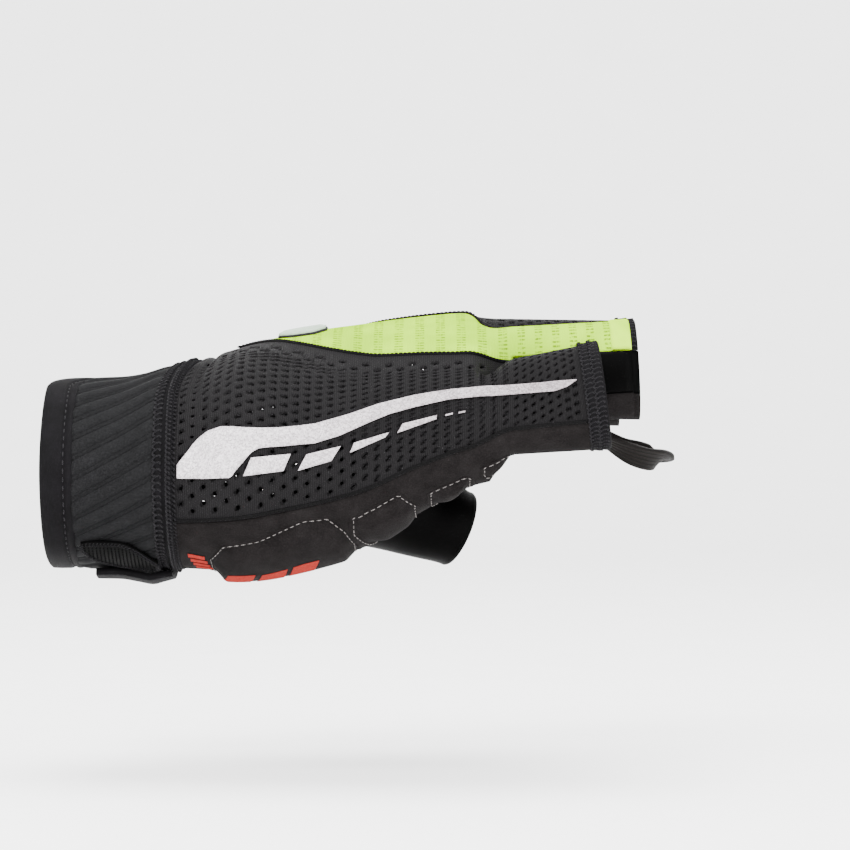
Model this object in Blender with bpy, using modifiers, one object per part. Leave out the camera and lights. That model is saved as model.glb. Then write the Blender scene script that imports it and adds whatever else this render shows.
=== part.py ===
"""A short-finger glove for the right hand, kept in its worn form with the back of the hand up.

Metres. The origin is the centre of the wrist opening. +X runs from the wrist to the fingers,
-Y is the little finger's side, +Y the thumb's side and +Z the back of the hand.
"""
from bisect import bisect_right
from collections import namedtuple
from math import cos, degrees, pi, radians, sin, sqrt, tan

import bpy
from mathutils import Vector

# Lengths along the hand
CUFF_LENGTH = 0.0325       # wrist edge to the seam round the hand
PALM_LENGTH = 0.082        # that seam to the crotches of the fingers
STALL_LENGTH = 0.033       # crotch to the hem of the longest stall

# Sizes across the hand
WRIST_BREADTH = 0.061
WRIST_DEPTH = 0.045
HAND_BREADTH = 0.090
KNUCKLE_HEIGHT = 0.040     # back of the hand above the wrist's middle
PALM_HEIGHT = 0.0045       # palm below the fingers above the wrist's middle

# Walls and clearances
CLOTH = 0.0012
SUEDE = 0.0014
NEOPRENE = 0.0022
SEAM_GAP = 0.0005          # between two panels that are sewn edge to edge
SEAT = 0.0003              # under a piece that lies on another
PAD_SEAT = 0.00065         # under a pad, whose flat cells span the curve of the palm
CROTCH_CLEARANCE = 0.0011  # between the crotches and the gussets
CROTCH_RADIUS = 0.0022     # of a gusset where it turns from one stall to the next

# Cuff
BINDING_WIDTH = 0.008
BINDING_WALL = 0.0029
NOTCH_DEPTH = 0.0095       # the wrist edge dips towards the hand on its back
NOTCH_CENTRE = 106.0      # degrees round the wrist
NOTCH_REACH = 42.0
SEAM_BAND_WIDTH = 0.0052
SEAM_BAND_WALL = 0.0032
BAND_CUT = 0.28            # share of a band's wall that is cut off each corner
RIB_COUNT = 30
RIB_HEIGHT = 0.0007
RIB_SLANT = 28.0           # degrees off the length of the arm
RIB_CLIMB = 0.78           # share of a rib's width that rises; the rest falls to the next
RIB_END = 0.35             # share of a rib's height that is left at its two ends
SLEEVE_STEPS = 4
RING_STEPS = 40

# Hand
PALM_SEAM = 30.0           # degrees below the little finger's side, and below the thumb's
PUCKER_DEPTH = 0.0009      # where the back is gathered into the cuff's seam
PUCKER_PLACE = 0.0060
PUCKER_WIDTH = 0.0030
BLEND_LENGTH = 0.011       # over which the hand parts into fingers
SEAM_BOW = 0.0045          # how far the cuff's seam leans towards the fingers on the back
SEAM_BOW_REACH = 0.018     # and how far along the hand that is felt
HOLE_STEPS = 8             # rows of a panel along the thumb's hole
LAST_STEPS = 5             # and from there to the crotches

# Thumb
THUMB_HOLE_START = 0.27    # shares of the palm's length
THUMB_HOLE_END = 0.76
THUMB_HOLE_RISE = 28.0     # degrees above the seam, and below it
THUMB_HOLE_FALL = 22.0
THUMB_DIAMETER = 0.0191
THUMB_MIDDLE = 14.0        # degrees from the seam to the middle of the hole
THUMB_REACH = 0.0276       # from the middle of the hole to the middle of the thumb's hem
THUMB_DROP = 0.0160
THUMB_INSET = 0.0034
THUMB_DIP = 21.7           # degrees that the hem faces downwards, and away from the palm
THUMB_SPLAY = 18.8
THUMB_ROOT_PULL = 0.013    # how far the stall runs straight out of the hole, and into its hem
THUMB_END_PULL = 0.016
THUMB_SEAT = 0.0012        # from the edge of the hole to the edge of the stall
THUMB_ROWS = (0.0, 0.12, 0.28, 0.50, 0.75, 1.0)
THUMB_STEPS = 9

# Small parts
HEM_WIDTH = 0.0050
HEM_WALL = 0.0017
PAD_WALLS = {"pad_heel": 0.0026, "pad_middle": 0.0017, "pad_upper": 0.0015, "pad_knuckle": 0.0042}
PAD_EDGE = 0.35            # share of a pad's thickness that is left at its border
TAB_WALL = 0.0016
HOOK_WALL = 0.0012
LOOP_WIDTH = 0.0054
LOOP_WALL = 0.0010
BADGE_WALL = 0.0008

# One row for each section across the hand. Station 0 is the wrist edge, 1 the cuff's seam and
# 2 the crotch. The sides run from half the wrist's breadth (0) to half the hand's (1), the
# crest and the belly from the wrist to the knuckles (0 to 1). Rises are shares of the knuckle
# height and shifts shares of the hand's breadth. The last columns shape the two upper quarters:
# 2 is an oval and more is squarer.
Section = namedtuple(
    "Section",
    "station little_side thumb_side crest belly little_rise thumb_rise crest_shift belly_shift "
    "little_back thumb_back")
SECTIONS = (
    Section(0.00, 0.00, 0.00, 0.00, 0.00, 0.000, 0.000, 0.000, 0.000, 2.0, 2.0),
    Section(0.50, 0.00, 0.00, -0.02, 0.00, 0.000, 0.000, 0.000, 0.000, 2.0, 2.0),
    Section(1.00, 0.20, 0.24, 0.20, -0.03, 0.000, 0.000, 0.000, 0.000, 2.0, 2.0),
    Section(1.17, 0.52, 0.65, 0.46, -0.05, 0.040, 0.010, 0.022, -0.022, 1.95, 2.1),
    Section(1.35, 0.76, 0.93, 0.68, 0.02, 0.125, 0.075, 0.044, -0.067, 1.85, 2.2),
    Section(1.54, 0.90, 1.07, 0.81, 0.16, 0.225, 0.225, 0.056, -0.156, 1.75, 2.3),
    Section(1.72, 1.00, 1.12, 0.92, 0.495, 0.325, 0.400, 0.067, -0.244, 1.65, 2.45),
    Section(1.87, 1.03, 1.08, 0.98, 0.74, 0.385, 0.500, 0.089, -0.311, 1.55, 2.6),
    Section(2.00, 1.00, 1.00, 0.90, 0.83, 0.410, 0.540, 0.100, -0.367, 1.5, 2.6),
)

# One row for each stall. Across and half width are shares of the hand's breadth, height and
# half height of the knuckle height, the others of the stall length: its own length, how far
# its top edge stands back, how far its hem rises, how far it leans to the side and how far
# it opens in height.
Stall = namedtuple("Stall", "across height half_width half_height length slant lift lean flare")
STALLS = {
    "little": Stall(-0.395, 0.408, 0.105, 0.275, 0.71, 0.10, 0.130, -0.03, 0.07),
    "ring": Stall(-0.150, 0.600, 0.113, 0.290, 0.91, 0.04, 0.055, 0.00, 0.00),
    "middle": Stall(0.112, 0.657, 0.118, 0.300, 1.00, 0.04, -0.015, 0.02, 0.00),
    "index": Stall(0.374, 0.612, 0.118, 0.292, 0.88, 0.04, -0.020, 0.04, 0.00),
}
FINGERS = tuple(STALLS)
STALL_STEPS = (0.34, 0.67, 1.0)
TOP_EDGE = 22.0            # degrees above a stall's side where its back panel ends
# where a seam ends between the stall named and the next one
WEB_SHARES = {"little": 0.88, "ring": 0.6, "middle": 0.6}
LEAST_SHARE = 0.02         # between two columns of a panel
SEARCH_PAST = 25.0         # degrees past a panel's edges in which its columns are placed

# The two seams of the bright centre panel, in degrees round the hand
CentreSeam = namedtuple("CentreSeam", "station little_edge thumb_edge")
CENTRE_SEAMS = (
    CentreSeam(1.00, 90, 90),
    CentreSeam(1.17, 90, 90),
    CentreSeam(1.27, 79, 101),
    CentreSeam(1.35, 67, 106),
    CentreSeam(1.44, 57, 107),
    CentreSeam(1.54, 50, 101),
    CentreSeam(1.61, 47, 94),
    CentreSeam(1.74, 46, 89),
    CentreSeam(1.85, 46, 86),
    CentreSeam(2.00, 47, 73),
)
CENTRE_TIP = CENTRE_SEAMS[1].station
CENTRE_NARROW = 0.2        # how far the panel's first row is drawn towards its second

# The padded patches of the palm: a row for each step along the hand, with the degrees below
# the little finger's side where the patch starts and ends
PadRow = namedtuple("PadRow", "station near far")
PADS = {
    "pad_heel": (
        PadRow(1.100, 64, 88), PadRow(1.150, 50, 104), PadRow(1.250, 47, 112),
        PadRow(1.350, 43, 114), PadRow(1.450, 45, 112), PadRow(1.500, 57, 106),
        PadRow(1.535, 74, 98),
    ),
    "pad_middle": (
        PadRow(1.520, 47, 57), PadRow(1.550, 47, 68), PadRow(1.567, 47, 79),
        PadRow(1.587, 47, 90), PadRow(1.630, 48, 98), PadRow(1.680, 53, 100),
        PadRow(1.718, 64, 95),
    ),
    "pad_upper": (
        PadRow(1.745, 58, 82), PadRow(1.772, 57, 92), PadRow(1.820, 58, 97),
        PadRow(1.865, 57, 94), PadRow(1.890, 60, 84),
    ),
    "pad_knuckle": (
        PadRow(1.905, 50, 66), PadRow(1.925, 46, 70), PadRow(1.960, 45, 68),
        PadRow(1.988, 49, 63),
    ),
}

# Under the wrist: along is a share of the cuff's length, near and far are degrees below the
# little finger's side, and lift is the height above the cuff's seam band
TapeRow = namedtuple("TapeRow", "along near far lift")
HOOK_ROWS = (
    TapeRow(0.31, 44, 50, 0.0), TapeRow(0.39, 41, 60, 0.0), TapeRow(0.555, 40, 64, 0.0),
    TapeRow(0.71, 42, 64, 0.0), TapeRow(0.815, 50, 64, 0.0),
)
TAB_ROWS = (
    TapeRow(0.37, 70, 116, 0.0006), TapeRow(0.54, 69, 116, 0.0007), TapeRow(0.69, 69, 115, 0.0013),
    TapeRow(0.79, 69, 114, 0.0017), TapeRow(0.87, 70, 113, 0.0009), TapeRow(0.95, 73, 110, 0.0),
)

# The pull loop's tape, from under the ring stall round to under the middle stall: how far it
# runs past the crotch, how far it lies across (0 at the ring stall, 1 at the middle stall),
# its height above the wrist's middle, and its tilt out of the level, in degrees
LoopRow = namedtuple("LoopRow", "along across height tilt")
LOOP_ROWS = (
    LoopRow(0.36, 0.00, None, 0), LoopRow(0.48, -0.02, None, 0), LoopRow(0.62, -0.04, 0.245, 12),
    LoopRow(0.78, -0.04, 0.165, 36), LoopRow(0.92, 0.00, 0.108, 62), LoopRow(1.03, 0.10, 0.082, 72),
    LoopRow(1.12, 0.28, 0.082, 48), LoopRow(1.16, 0.50, 0.090, 0), LoopRow(1.12, 0.72, 0.110, -40),
    LoopRow(1.02, 0.90, 0.125, -60), LoopRow(0.88, 1.00, 0.160, -44), LoopRow(0.74, 1.03, 0.230, -20),
    LoopRow(0.60, 1.02, None, 0), LoopRow(0.48, 1.00, None, 0),
)

# The soft tag on the back, near the cuff
BADGE_ROWS = (
    PadRow(1.300, 80, 97), PadRow(1.345, 75, 99), PadRow(1.400, 74, 99), PadRow(1.440, 78, 96),
)

COLOURS = {
    "neoprene_black": (0.020, 0.021, 0.024, 0.75),
    "binding_black": (0.016, 0.017, 0.020, 0.65),
    "overlock_thread_black": (0.018, 0.018, 0.020, 0.80),
    "hook_tape_black": (0.010, 0.010, 0.011, 0.55),
    "knit_mesh_black": (0.024, 0.025, 0.028, 0.85),
    "knit_neon_yellow": (0.560, 0.860, 0.000, 0.80),
    "hem_neon_yellow": (0.640, 0.900, 0.080, 0.80),
    "suede_black": (0.034, 0.033, 0.034, 0.90),
    "lycra_black": (0.008, 0.008, 0.009, 0.60),
    "woven_tape_black": (0.010, 0.010, 0.011, 0.70),
    "rubber_grey": (0.110, 0.120, 0.130, 0.55),
}


def lerp(a, b, share):
    return a + (b - a) * share


def smooth(share):
    share = min(max(share, 0.0), 1.0)
    return share * share * (3.0 - 2.0 * share)


def follow(table, column, at):
    """A column of a table read smoothly between its rows, without overshoot."""
    places = [row[0] for row in table]
    values = [getattr(row, column) for row in table]
    if at <= places[0]:
        return values[0]
    if at >= places[-1]:
        return values[-1]
    slopes = [(values[i + 1] - values[i]) / (places[i + 1] - places[i])
              for i in range(len(places) - 1)]

    def tangent(i):
        if i in (0, len(places) - 1):
            return slopes[min(i, len(slopes) - 1)]
        before, after = slopes[i - 1], slopes[i]
        return 0.0 if before * after <= 0.0 else 2.0 * before * after / (before + after)

    i = bisect_right(places, at) - 1
    step = places[i + 1] - places[i]
    t = (at - places[i]) / step
    return ((2 * t ** 3 - 3 * t ** 2 + 1) * values[i] + (t ** 3 - 2 * t ** 2 + t) * step * tangent(i)
            + (3 * t ** 2 - 2 * t ** 3) * values[i + 1] + (t ** 3 - t ** 2) * step * tangent(i + 1))


def crotch_x():
    return CUFF_LENGTH + PALM_LENGTH


def station_x(station):
    return CUFF_LENGTH * min(station, 1.0) + PALM_LENGTH * max(station - 1.0, 0.0)


def x_station(x):
    if x <= CUFF_LENGTH:
        return x / CUFF_LENGTH
    return 1.0 + (x - CUFF_LENGTH) / PALM_LENGTH


def bowed(x, angle):
    """Leans the rows next to the cuff's seam over the back, along the same surface."""
    turn = angle % 360.0
    over = smooth((turn - 40.0) / 60.0) * (1.0 - smooth((turn - 150.0) / 80.0))
    return x + SEAM_BOW * over * smooth(1.0 - abs(x - CUFF_LENGTH) / SEAM_BOW_REACH)


def hand_point(x, angle):
    """A point of the cuff or hand. The angle is 0 at the little finger's side, 90 on the back,
    180 at the thumb's side and 270 or -90 on the palm."""
    angle = (angle + 90.0) % 360.0 - 90.0
    past_seam = (x - CUFF_LENGTH - PUCKER_PLACE) / PUCKER_WIDTH
    x = bowed(x, angle)
    station = x_station(x)
    half_wrist = WRIST_BREADTH / 2
    half_hand = HAND_BREADTH / 2
    side_y = {
        "little": -lerp(half_wrist, half_hand, follow(SECTIONS, "little_side", station)),
        "thumb": lerp(half_wrist, half_hand, follow(SECTIONS, "thumb_side", station)),
    }
    side_z = {
        "little": follow(SECTIONS, "little_rise", station) * KNUCKLE_HEIGHT,
        "thumb": follow(SECTIONS, "thumb_rise", station) * KNUCKLE_HEIGHT,
    }
    side = "little" if angle <= 90.0 else "thumb"
    on_back = 0.0 <= angle <= 180.0
    if on_back:
        pole_y = follow(SECTIONS, "crest_shift", station) * HAND_BREADTH
        pole_z = lerp(WRIST_DEPTH / 2, KNUCKLE_HEIGHT, follow(SECTIONS, "crest", station))
        power = 2.0 / follow(SECTIONS, side + "_back", station)
    else:
        pole_y = follow(SECTIONS, "belly_shift", station) * HAND_BREADTH
        pole_z = lerp(-WRIST_DEPTH / 2, PALM_HEIGHT, follow(SECTIONS, "belly", station))
        power = 1.0
    across = abs(cos(radians(angle))) ** power
    up = abs(sin(radians(angle))) ** power
    y = pole_y + (side_y[side] - pole_y) * across
    z = side_z[side] + (pole_z - side_z[side]) * up
    pucker = PUCKER_DEPTH * max(0.0, 1.0 - past_seam ** 2) if on_back else 0.0
    shrink = 1.0 - pucker / KNUCKLE_HEIGHT
    return Vector((x, y * shrink, z * shrink))


def hand_normal(x, angle):
    step = 0.0008
    turn = 2.0
    along = hand_point(x + step, angle) - hand_point(x - step, angle)
    around = hand_point(x, angle + turn) - hand_point(x, angle - turn)
    return along.cross(around).normalized()


def stall_point(finger, x, angle):
    """A point of a stall, with the same angles as the hand has."""
    stall = STALLS[finger]
    past = x - crotch_x()
    y = stall.across * HAND_BREADTH + stall.lean * past
    z = stall.height * KNUCKLE_HEIGHT + stall.lift * past
    y -= stall.half_width * HAND_BREADTH * cos(radians(angle))
    z += (stall.half_height * KNUCKLE_HEIGHT + stall.flare * past) * sin(radians(angle))
    return Vector((x, y, z))


def stall_normal(finger, angle):
    stall = STALLS[finger]
    across = -cos(radians(angle)) / (stall.half_width * HAND_BREADTH)
    up = sin(radians(angle)) / (stall.half_height * KNUCKLE_HEIGHT)
    return Vector((0.0, across, up)).normalized()


def hem_x(finger, angle):
    """Where a stall ends; its upper edge stands back from its lower one."""
    stall = STALLS[finger]
    stand_back = stall.slant * (1.0 + sin(radians(angle))) / 2
    return crotch_x() + STALL_LENGTH * (stall.length - stand_back)


def hole_open(x):
    """0 at the ends of the thumb's hole and 1 at its middle."""
    start = station_x(1.0 + THUMB_HOLE_START)
    end = station_x(1.0 + THUMB_HOLE_END)
    off = (2.0 * x - start - end) / (end - start)
    return sqrt(max(0.0, 1.0 - off * off))


def little_palm_seam(x):
    return -PALM_SEAM


def thumb_palm_seam(x):
    return -180.0 + PALM_SEAM + THUMB_HOLE_FALL * hole_open(x)


def thumb_back_seam(x):
    return 180.0 + PALM_SEAM - THUMB_HOLE_RISE * hole_open(x)


def little_centre_seam(x):
    return follow(CENTRE_SEAMS, "little_edge", x_station(x))


def thumb_centre_seam(x):
    return follow(CENTRE_SEAMS, "thumb_edge", x_station(x))


def hand_rows():
    """Where the hand's panels have their rows: close at the cuff, round the thumb's hole and
    where the fingers part."""
    start = station_x(1.0 + THUMB_HOLE_START)
    end = station_x(1.0 + THUMB_HOLE_END)
    tip = station_x(CENTRE_TIP)
    pucker = CUFF_LENGTH + PUCKER_PLACE
    first = CUFF_LENGTH + SEAM_GAP / 2
    rows = [first, pucker - PUCKER_WIDTH, pucker, pucker + PUCKER_WIDTH, tip]
    for step in range(HOLE_STEPS + 1):
        rows.append(lerp(start, end, (1.0 - cos(pi * step / HOLE_STEPS)) / 2))
    for step in range(1, LAST_STEPS + 1):
        rows.append(lerp(end, crotch_x(), step / LAST_STEPS))
    return rows


Column = namedtuple("Column", "finger angle")


def web_point(before, after, x):
    """Where the seam of two back panels meets the crotch between two stalls."""
    first = stall_point(before, x, 180.0 - TOP_EDGE)
    second = stall_point(after, x, TOP_EDGE)
    return first.lerp(second, WEB_SHARES[before])


def column_target(column, x):
    if isinstance(column.finger, tuple):
        before, after = column.finger
        return web_point(before, after, x)
    return stall_point(column.finger, x, column.angle)


def nearest_angle(target, low, high):
    """The place round the last hand section that lies nearest to a point."""
    steps = 120
    angles = [lerp(low, high, step / steps) for step in range(steps + 1)]
    return min(angles, key=lambda angle: (hand_point(target.x, angle) - target).length)


def column_shares(columns, first_angle, last_angle):
    """How far each column lies across its panel: half by its place round the hand's last
    section and half by its distance along the edge of the panel there."""
    past_ends = SEARCH_PAST if last_angle > first_angle else -SEARCH_PAST
    targets = [column_target(column, crotch_x()) for column in columns]
    angles = [nearest_angle(target, first_angle - past_ends, last_angle + past_ends)
              for target in targets]
    lengths = [0.0]
    for before, after in zip(targets, targets[1:]):
        lengths.append(lengths[-1] + (after - before).length)
    shares = [((angle - angles[0]) / (angles[-1] - angles[0]) + length / lengths[-1]) / 2
              for angle, length in zip(angles, lengths)]
    for index in range(1, len(shares)):
        shares[index] = max(shares[index], shares[index - 1] + LEAST_SHARE)
    return [share / shares[-1] for share in shares]


def panel_point(column, share, first_seam, last_seam, x):
    """A panel's point: on the hand, turning into its stall near the crotch."""
    on_hand = hand_point(x, lerp(first_seam(x), last_seam(x), share))
    parted = smooth((x - crotch_x() + BLEND_LENGTH) / BLEND_LENGTH)
    return on_hand.lerp(column_target(column, x), parted)


def pull_in(grid, column, neighbour, rows, distance):
    for row in rows:
        here, there = grid[row][column], grid[row][neighbour]
        if here is not None and there is not None:
            grid[row][column] = here + (there - here).normalized() * distance


def hand_panel(columns, first_seam, last_seam, hemmed, start_row=0):
    """The middle surface of a panel, as rows of points from the cuff to the hems."""
    shares = column_shares(columns, first_seam(crotch_x()), last_seam(crotch_x()))
    rows = hand_rows()[start_row:]
    grid = [[panel_point(column, share, first_seam, last_seam, x)
             for column, share in zip(columns, shares)] for x in rows]
    if start_row:
        grid[0] = [here.lerp(there, CENTRE_NARROW) for here, there in zip(grid[0], grid[1])]
    for step in STALL_STEPS:
        line = []
        for column in columns:
            if isinstance(column.finger, tuple):
                line.append(None)
                continue
            end = hem_x(column.finger, column.angle)
            if column.finger in hemmed:
                end -= HEM_WIDTH + SEAM_GAP
            line.append(stall_point(column.finger, lerp(crotch_x(), end, step), column.angle))
        grid.append(line)
    hand_part = range(len(rows))
    stall_part = range(len(rows), len(grid))
    crotch_part = range(len(rows) - 1, len(grid))
    pull_in(grid, 0, 1, hand_part, SEAM_GAP / 2)
    pull_in(grid, len(columns) - 1, len(columns) - 2, hand_part, SEAM_GAP / 2)
    for index, column in enumerate(columns):
        for neighbour, inner in ((index - 1, index + 1), (index + 1, index - 1)):
            if not 0 <= inner < len(columns) or columns[inner].finger != column.finger:
                continue
            if not 0 <= neighbour < len(columns):
                pull_in(grid, index, inner, stall_part, SEAM_GAP / 2)
            elif columns[neighbour].finger != column.finger:
                pull_in(grid, index, inner, crotch_part, SEAM_GAP / 2)
    return grid


def material(name):
    red, green, blue, roughness = COLOURS[name]
    found = bpy.data.materials.get(name)
    if found:
        return found
    made = bpy.data.materials.new(name)
    made.use_nodes = True
    shader = made.node_tree.nodes["Principled BSDF"]
    shader.inputs["Base Color"].default_value = (red, green, blue, 1.0)
    shader.inputs["Roughness"].default_value = roughness
    shader.inputs["Metallic"].default_value = 0.0
    made.diffuse_color = (red, green, blue, 1.0)
    return made


def add_piece(name, points, faces, finish):
    mesh = bpy.data.meshes.new(name)
    mesh.from_pydata(points, [], faces)
    mesh.materials.append(material(finish))
    mesh.shade_smooth()
    piece = bpy.data.objects.new(name, mesh)
    bpy.data.collections["short_finger_glove"].objects.link(piece)
    return piece


def add_sheet(name, grid, wall, finish, closed=False, is_open=None):
    """Cloth: an open surface through rows of points, given a wall on both of its sides."""
    points = []
    number = {}
    for r, line in enumerate(grid):
        for c, point in enumerate(line):
            if point is not None:
                number[r, c] = len(points)
                points.append(point)
    width = len(grid[0])
    faces = []
    for r in range(len(grid) - 1):
        for c in range(width if closed else width - 1):
            corners = ((r, c), (r + 1, c), (r + 1, (c + 1) % width), (r, (c + 1) % width))
            if all(corner in number for corner in corners) and not (is_open and is_open(r, c)):
                faces.append([number[corner] for corner in corners])
    piece = add_piece(name, points, faces, finish)
    solid = piece.modifiers.new("wall", "SOLIDIFY")
    solid.thickness = wall
    solid.offset = 0.0
    solid.use_even_offset = True
    solid.use_quality_normals = True
    return piece


def add_slab(name, under, over, finish):
    """A pad: a closed solid between two grids of the same size."""
    height, width = len(under), len(under[0])
    points = [point for line in under for point in line] + [point for line in over for point in line]
    top = height * width
    faces = []
    for r in range(height - 1):
        for c in range(width - 1):
            a, b = r * width + c, (r + 1) * width + c
            faces.append((a + 1, b + 1, b, a))
            faces.append((top + a, top + b, top + b + 1, top + a + 1))
    rim = [c for c in range(width)]
    rim += [r * width + width - 1 for r in range(1, height)]
    rim += [(height - 1) * width + c for c in range(width - 2, -1, -1)]
    rim += [r * width for r in range(height - 2, 0, -1)]
    for here, there in zip(rim, rim[1:] + rim[:1]):
        faces.append((here, top + here, top + there, there))
    return add_piece(name, points, faces, finish)


def add_band(name, rings, finish, closed):
    """A band: closed outlines of the same number of points, joined one after another."""
    count = len(rings[0])
    points = [point for ring in rings for point in ring]
    faces = []
    for r in range(len(rings) if closed else len(rings) - 1):
        here, there = r * count, (r + 1) % len(rings) * count
        for p in range(count):
            q = (p + 1) % count
            faces.append((here + p, here + q, there + q, there + p))
    if not closed:
        last = (len(rings) - 1) * count
        faces.append([p for p in reversed(range(count))])
        faces.append([last + p for p in range(count)])
    return add_piece(name, points, faces, finish)


def band_outline(width, wall):
    """A band's section, a rectangle with its corners cut: places across the band and heights
    from its middle."""
    half = wall / 2
    cut = wall * BAND_CUT
    return ((0.0, -half + cut), (0.0, half - cut), (cut, half), (width - cut, half),
            (width, half - cut), (width, -half + cut), (width - cut, -half), (cut, -half))


def rim_x(angle):
    """The wrist edge, with its dip on the back."""
    off = abs((angle - NOTCH_CENTRE + 180.0) % 360.0 - 180.0) / NOTCH_REACH
    return NOTCH_DEPTH * (1.0 + cos(pi * off)) / 2 if off < 1.0 else 0.0


def make_binding():
    rings = []
    for step in range(RING_STEPS):
        angle = -90.0 + 360.0 * step / RING_STEPS
        rim = rim_x(angle)
        rings.append([hand_point(rim + across, angle) + hand_normal(rim + across, angle) * height
                      for across, height in band_outline(BINDING_WIDTH, BINDING_WALL)])
    add_band("cuff_binding", rings, "binding_black", closed=True)


def make_cuff_sleeve():
    """Slanting pleats: each climbs slowly and drops back to the next."""
    start_gap = BINDING_WIDTH + SEAM_GAP
    end = CUFF_LENGTH - SEAM_BAND_WIDTH - SEAM_GAP
    girth_radius = (WRIST_BREADTH + WRIST_DEPTH) / 4
    turn = degrees(tan(radians(RIB_SLANT)) / girth_radius)
    lines = []
    for rib in range(RIB_COUNT):
        for place, height in ((0.0, -0.5), (RIB_CLIMB, 0.5)):
            lines.append((360.0 * (rib + place) / RIB_COUNT, height * RIB_HEIGHT))
    grid = []
    for step in range(SLEEVE_STEPS + 1):
        share = step / SLEEVE_STEPS
        row = []
        for base, height in lines:
            start = start_gap
            for _ in range(6):
                start = start_gap + rim_x(base + turn * start)
            x = lerp(start, end, share)
            angle = base + turn * x
            fade = RIB_END if step in (0, SLEEVE_STEPS) else 1.0
            row.append(hand_point(x, angle) + hand_normal(x, angle) * height * fade)
        grid.append(row)
    add_sheet("cuff_sleeve", grid, NEOPRENE, "neoprene_black", closed=True)


def make_cuff_seam():
    rings = []
    start = CUFF_LENGTH - SEAM_BAND_WIDTH
    for step in range(RING_STEPS):
        angle = -90.0 + 360.0 * step / RING_STEPS
        width = SEAM_BAND_WIDTH - SEAM_GAP / 2
        rings.append([hand_point(start + across, angle) + hand_normal(start, angle) * height
                      for across, height in band_outline(width, SEAM_BAND_WALL)])
    add_band("cuff_seam", rings, "overlock_thread_black", closed=True)


def stall_columns(finger, angles):
    return [Column(finger, angle) for angle in angles]


BACK_ANGLES = (TOP_EDGE, 48.0, 76.0, 104.0, 132.0, 180.0 - TOP_EDGE)


def parted(columns, hand_row_count):
    """Says which cells lie between two stalls, where there is no cloth."""
    def is_open(row, column):
        return row >= hand_row_count - 1 and columns[column].finger != columns[column + 1].finger
    return is_open


def make_back_panels():
    row_count = len(hand_rows())
    outer = stall_columns("little", (-PALM_SEAM, -4.0) + BACK_ANGLES)
    outer.append(Column(("little", "ring"), TOP_EDGE))
    grid = hand_panel(outer, little_palm_seam, little_centre_seam, {"little"})
    add_sheet("back_mesh_outer", grid, CLOTH, "knit_mesh_black", is_open=parted(outer, row_count))

    centre = [Column(("little", "ring"), TOP_EDGE)] + stall_columns("ring", BACK_ANGLES)
    centre.append(Column(("ring", "middle"), TOP_EDGE))
    tip_row = hand_rows().index(station_x(CENTRE_TIP))
    grid = hand_panel(centre, little_centre_seam, thumb_centre_seam, {"ring"}, start_row=tip_row)
    add_sheet("back_centre_panel", grid, CLOTH, "knit_neon_yellow",
              is_open=parted(centre, row_count - tip_row))

    inner = [Column(("ring", "middle"), TOP_EDGE)]
    inner += stall_columns("middle", BACK_ANGLES)
    inner += stall_columns("index", BACK_ANGLES + (184.0, 180.0 + PALM_SEAM))
    grid = hand_panel(inner, thumb_centre_seam, thumb_back_seam, {"middle", "index"})
    add_sheet("back_mesh_inner", grid, CLOTH, "knit_mesh_black", is_open=parted(inner, row_count))


def palm_columns():
    angles = [lerp(-PALM_SEAM, -180.0 + PALM_SEAM, step / 5) for step in range(6)]
    columns = []
    for finger in FINGERS:
        columns += stall_columns(finger, angles)
    return columns


def make_palm_panel():
    columns = palm_columns()
    grid = hand_panel(columns, little_palm_seam, thumb_palm_seam, {"little"})
    add_sheet("palm_panel", grid, SUEDE, "suede_black", is_open=parted(columns, len(hand_rows())))


def palm_surface():
    """The palm's middle surface, read by the place along the hand and the degrees below the
    little finger's side."""
    columns = palm_columns()
    shares = column_shares(columns, little_palm_seam(crotch_x()), thumb_palm_seam(crotch_x()))

    def point(x, angle):
        first, last = little_palm_seam(x), thumb_palm_seam(x)
        share = min(max((-angle - first) / (last - first), 0.0), 1.0)
        right = min(max(bisect_right(shares, share), 1), len(shares) - 1)
        left = right - 1
        ends = [panel_point(columns[i], shares[i], little_palm_seam, thumb_palm_seam, x)
                for i in (left, right)]
        return ends[0].lerp(ends[1], (share - shares[left]) / (shares[right] - shares[left]))
    return point


def palm_normal(palm, x, angle):
    step = 0.0015
    turn = 5.0
    along = palm(x + step, angle) - palm(x - step, angle)
    around = palm(x, angle - turn) - palm(x, angle + turn)
    return along.cross(around).normalized()


def make_pads():
    """Low cushions that lie on the palm, full in the middle and thin at their borders."""
    across_steps = 6
    palm = palm_surface()
    for name, rows in PADS.items():
        under, over = [], []
        for index, row in enumerate(rows):
            x = station_x(row.station)
            low_line, high_line = [], []
            for step in range(across_steps + 1):
                share = step / across_steps
                angle = lerp(row.near, row.far, share)
                place = palm(x, angle)
                normal = palm_normal(palm, x, angle)
                ends = 0.0 if index in (0, len(rows) - 1) else 1.0
                full = ends * (1.0 - abs(2.0 * share - 1.0) ** 3)
                low = SUEDE / 2 + PAD_SEAT
                low_line.append(place + normal * low)
                wall = PAD_WALLS[name] * lerp(PAD_EDGE, 1.0, full)
                high_line.append(place + normal * (low + wall))
            under.append(low_line)
            over.append(high_line)
        flip_rows(under, over)
        add_slab(name, under, over, "suede_black")


def flip_rows(*grids):
    for grid in grids:
        for line in grid:
            line.reverse()


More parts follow.
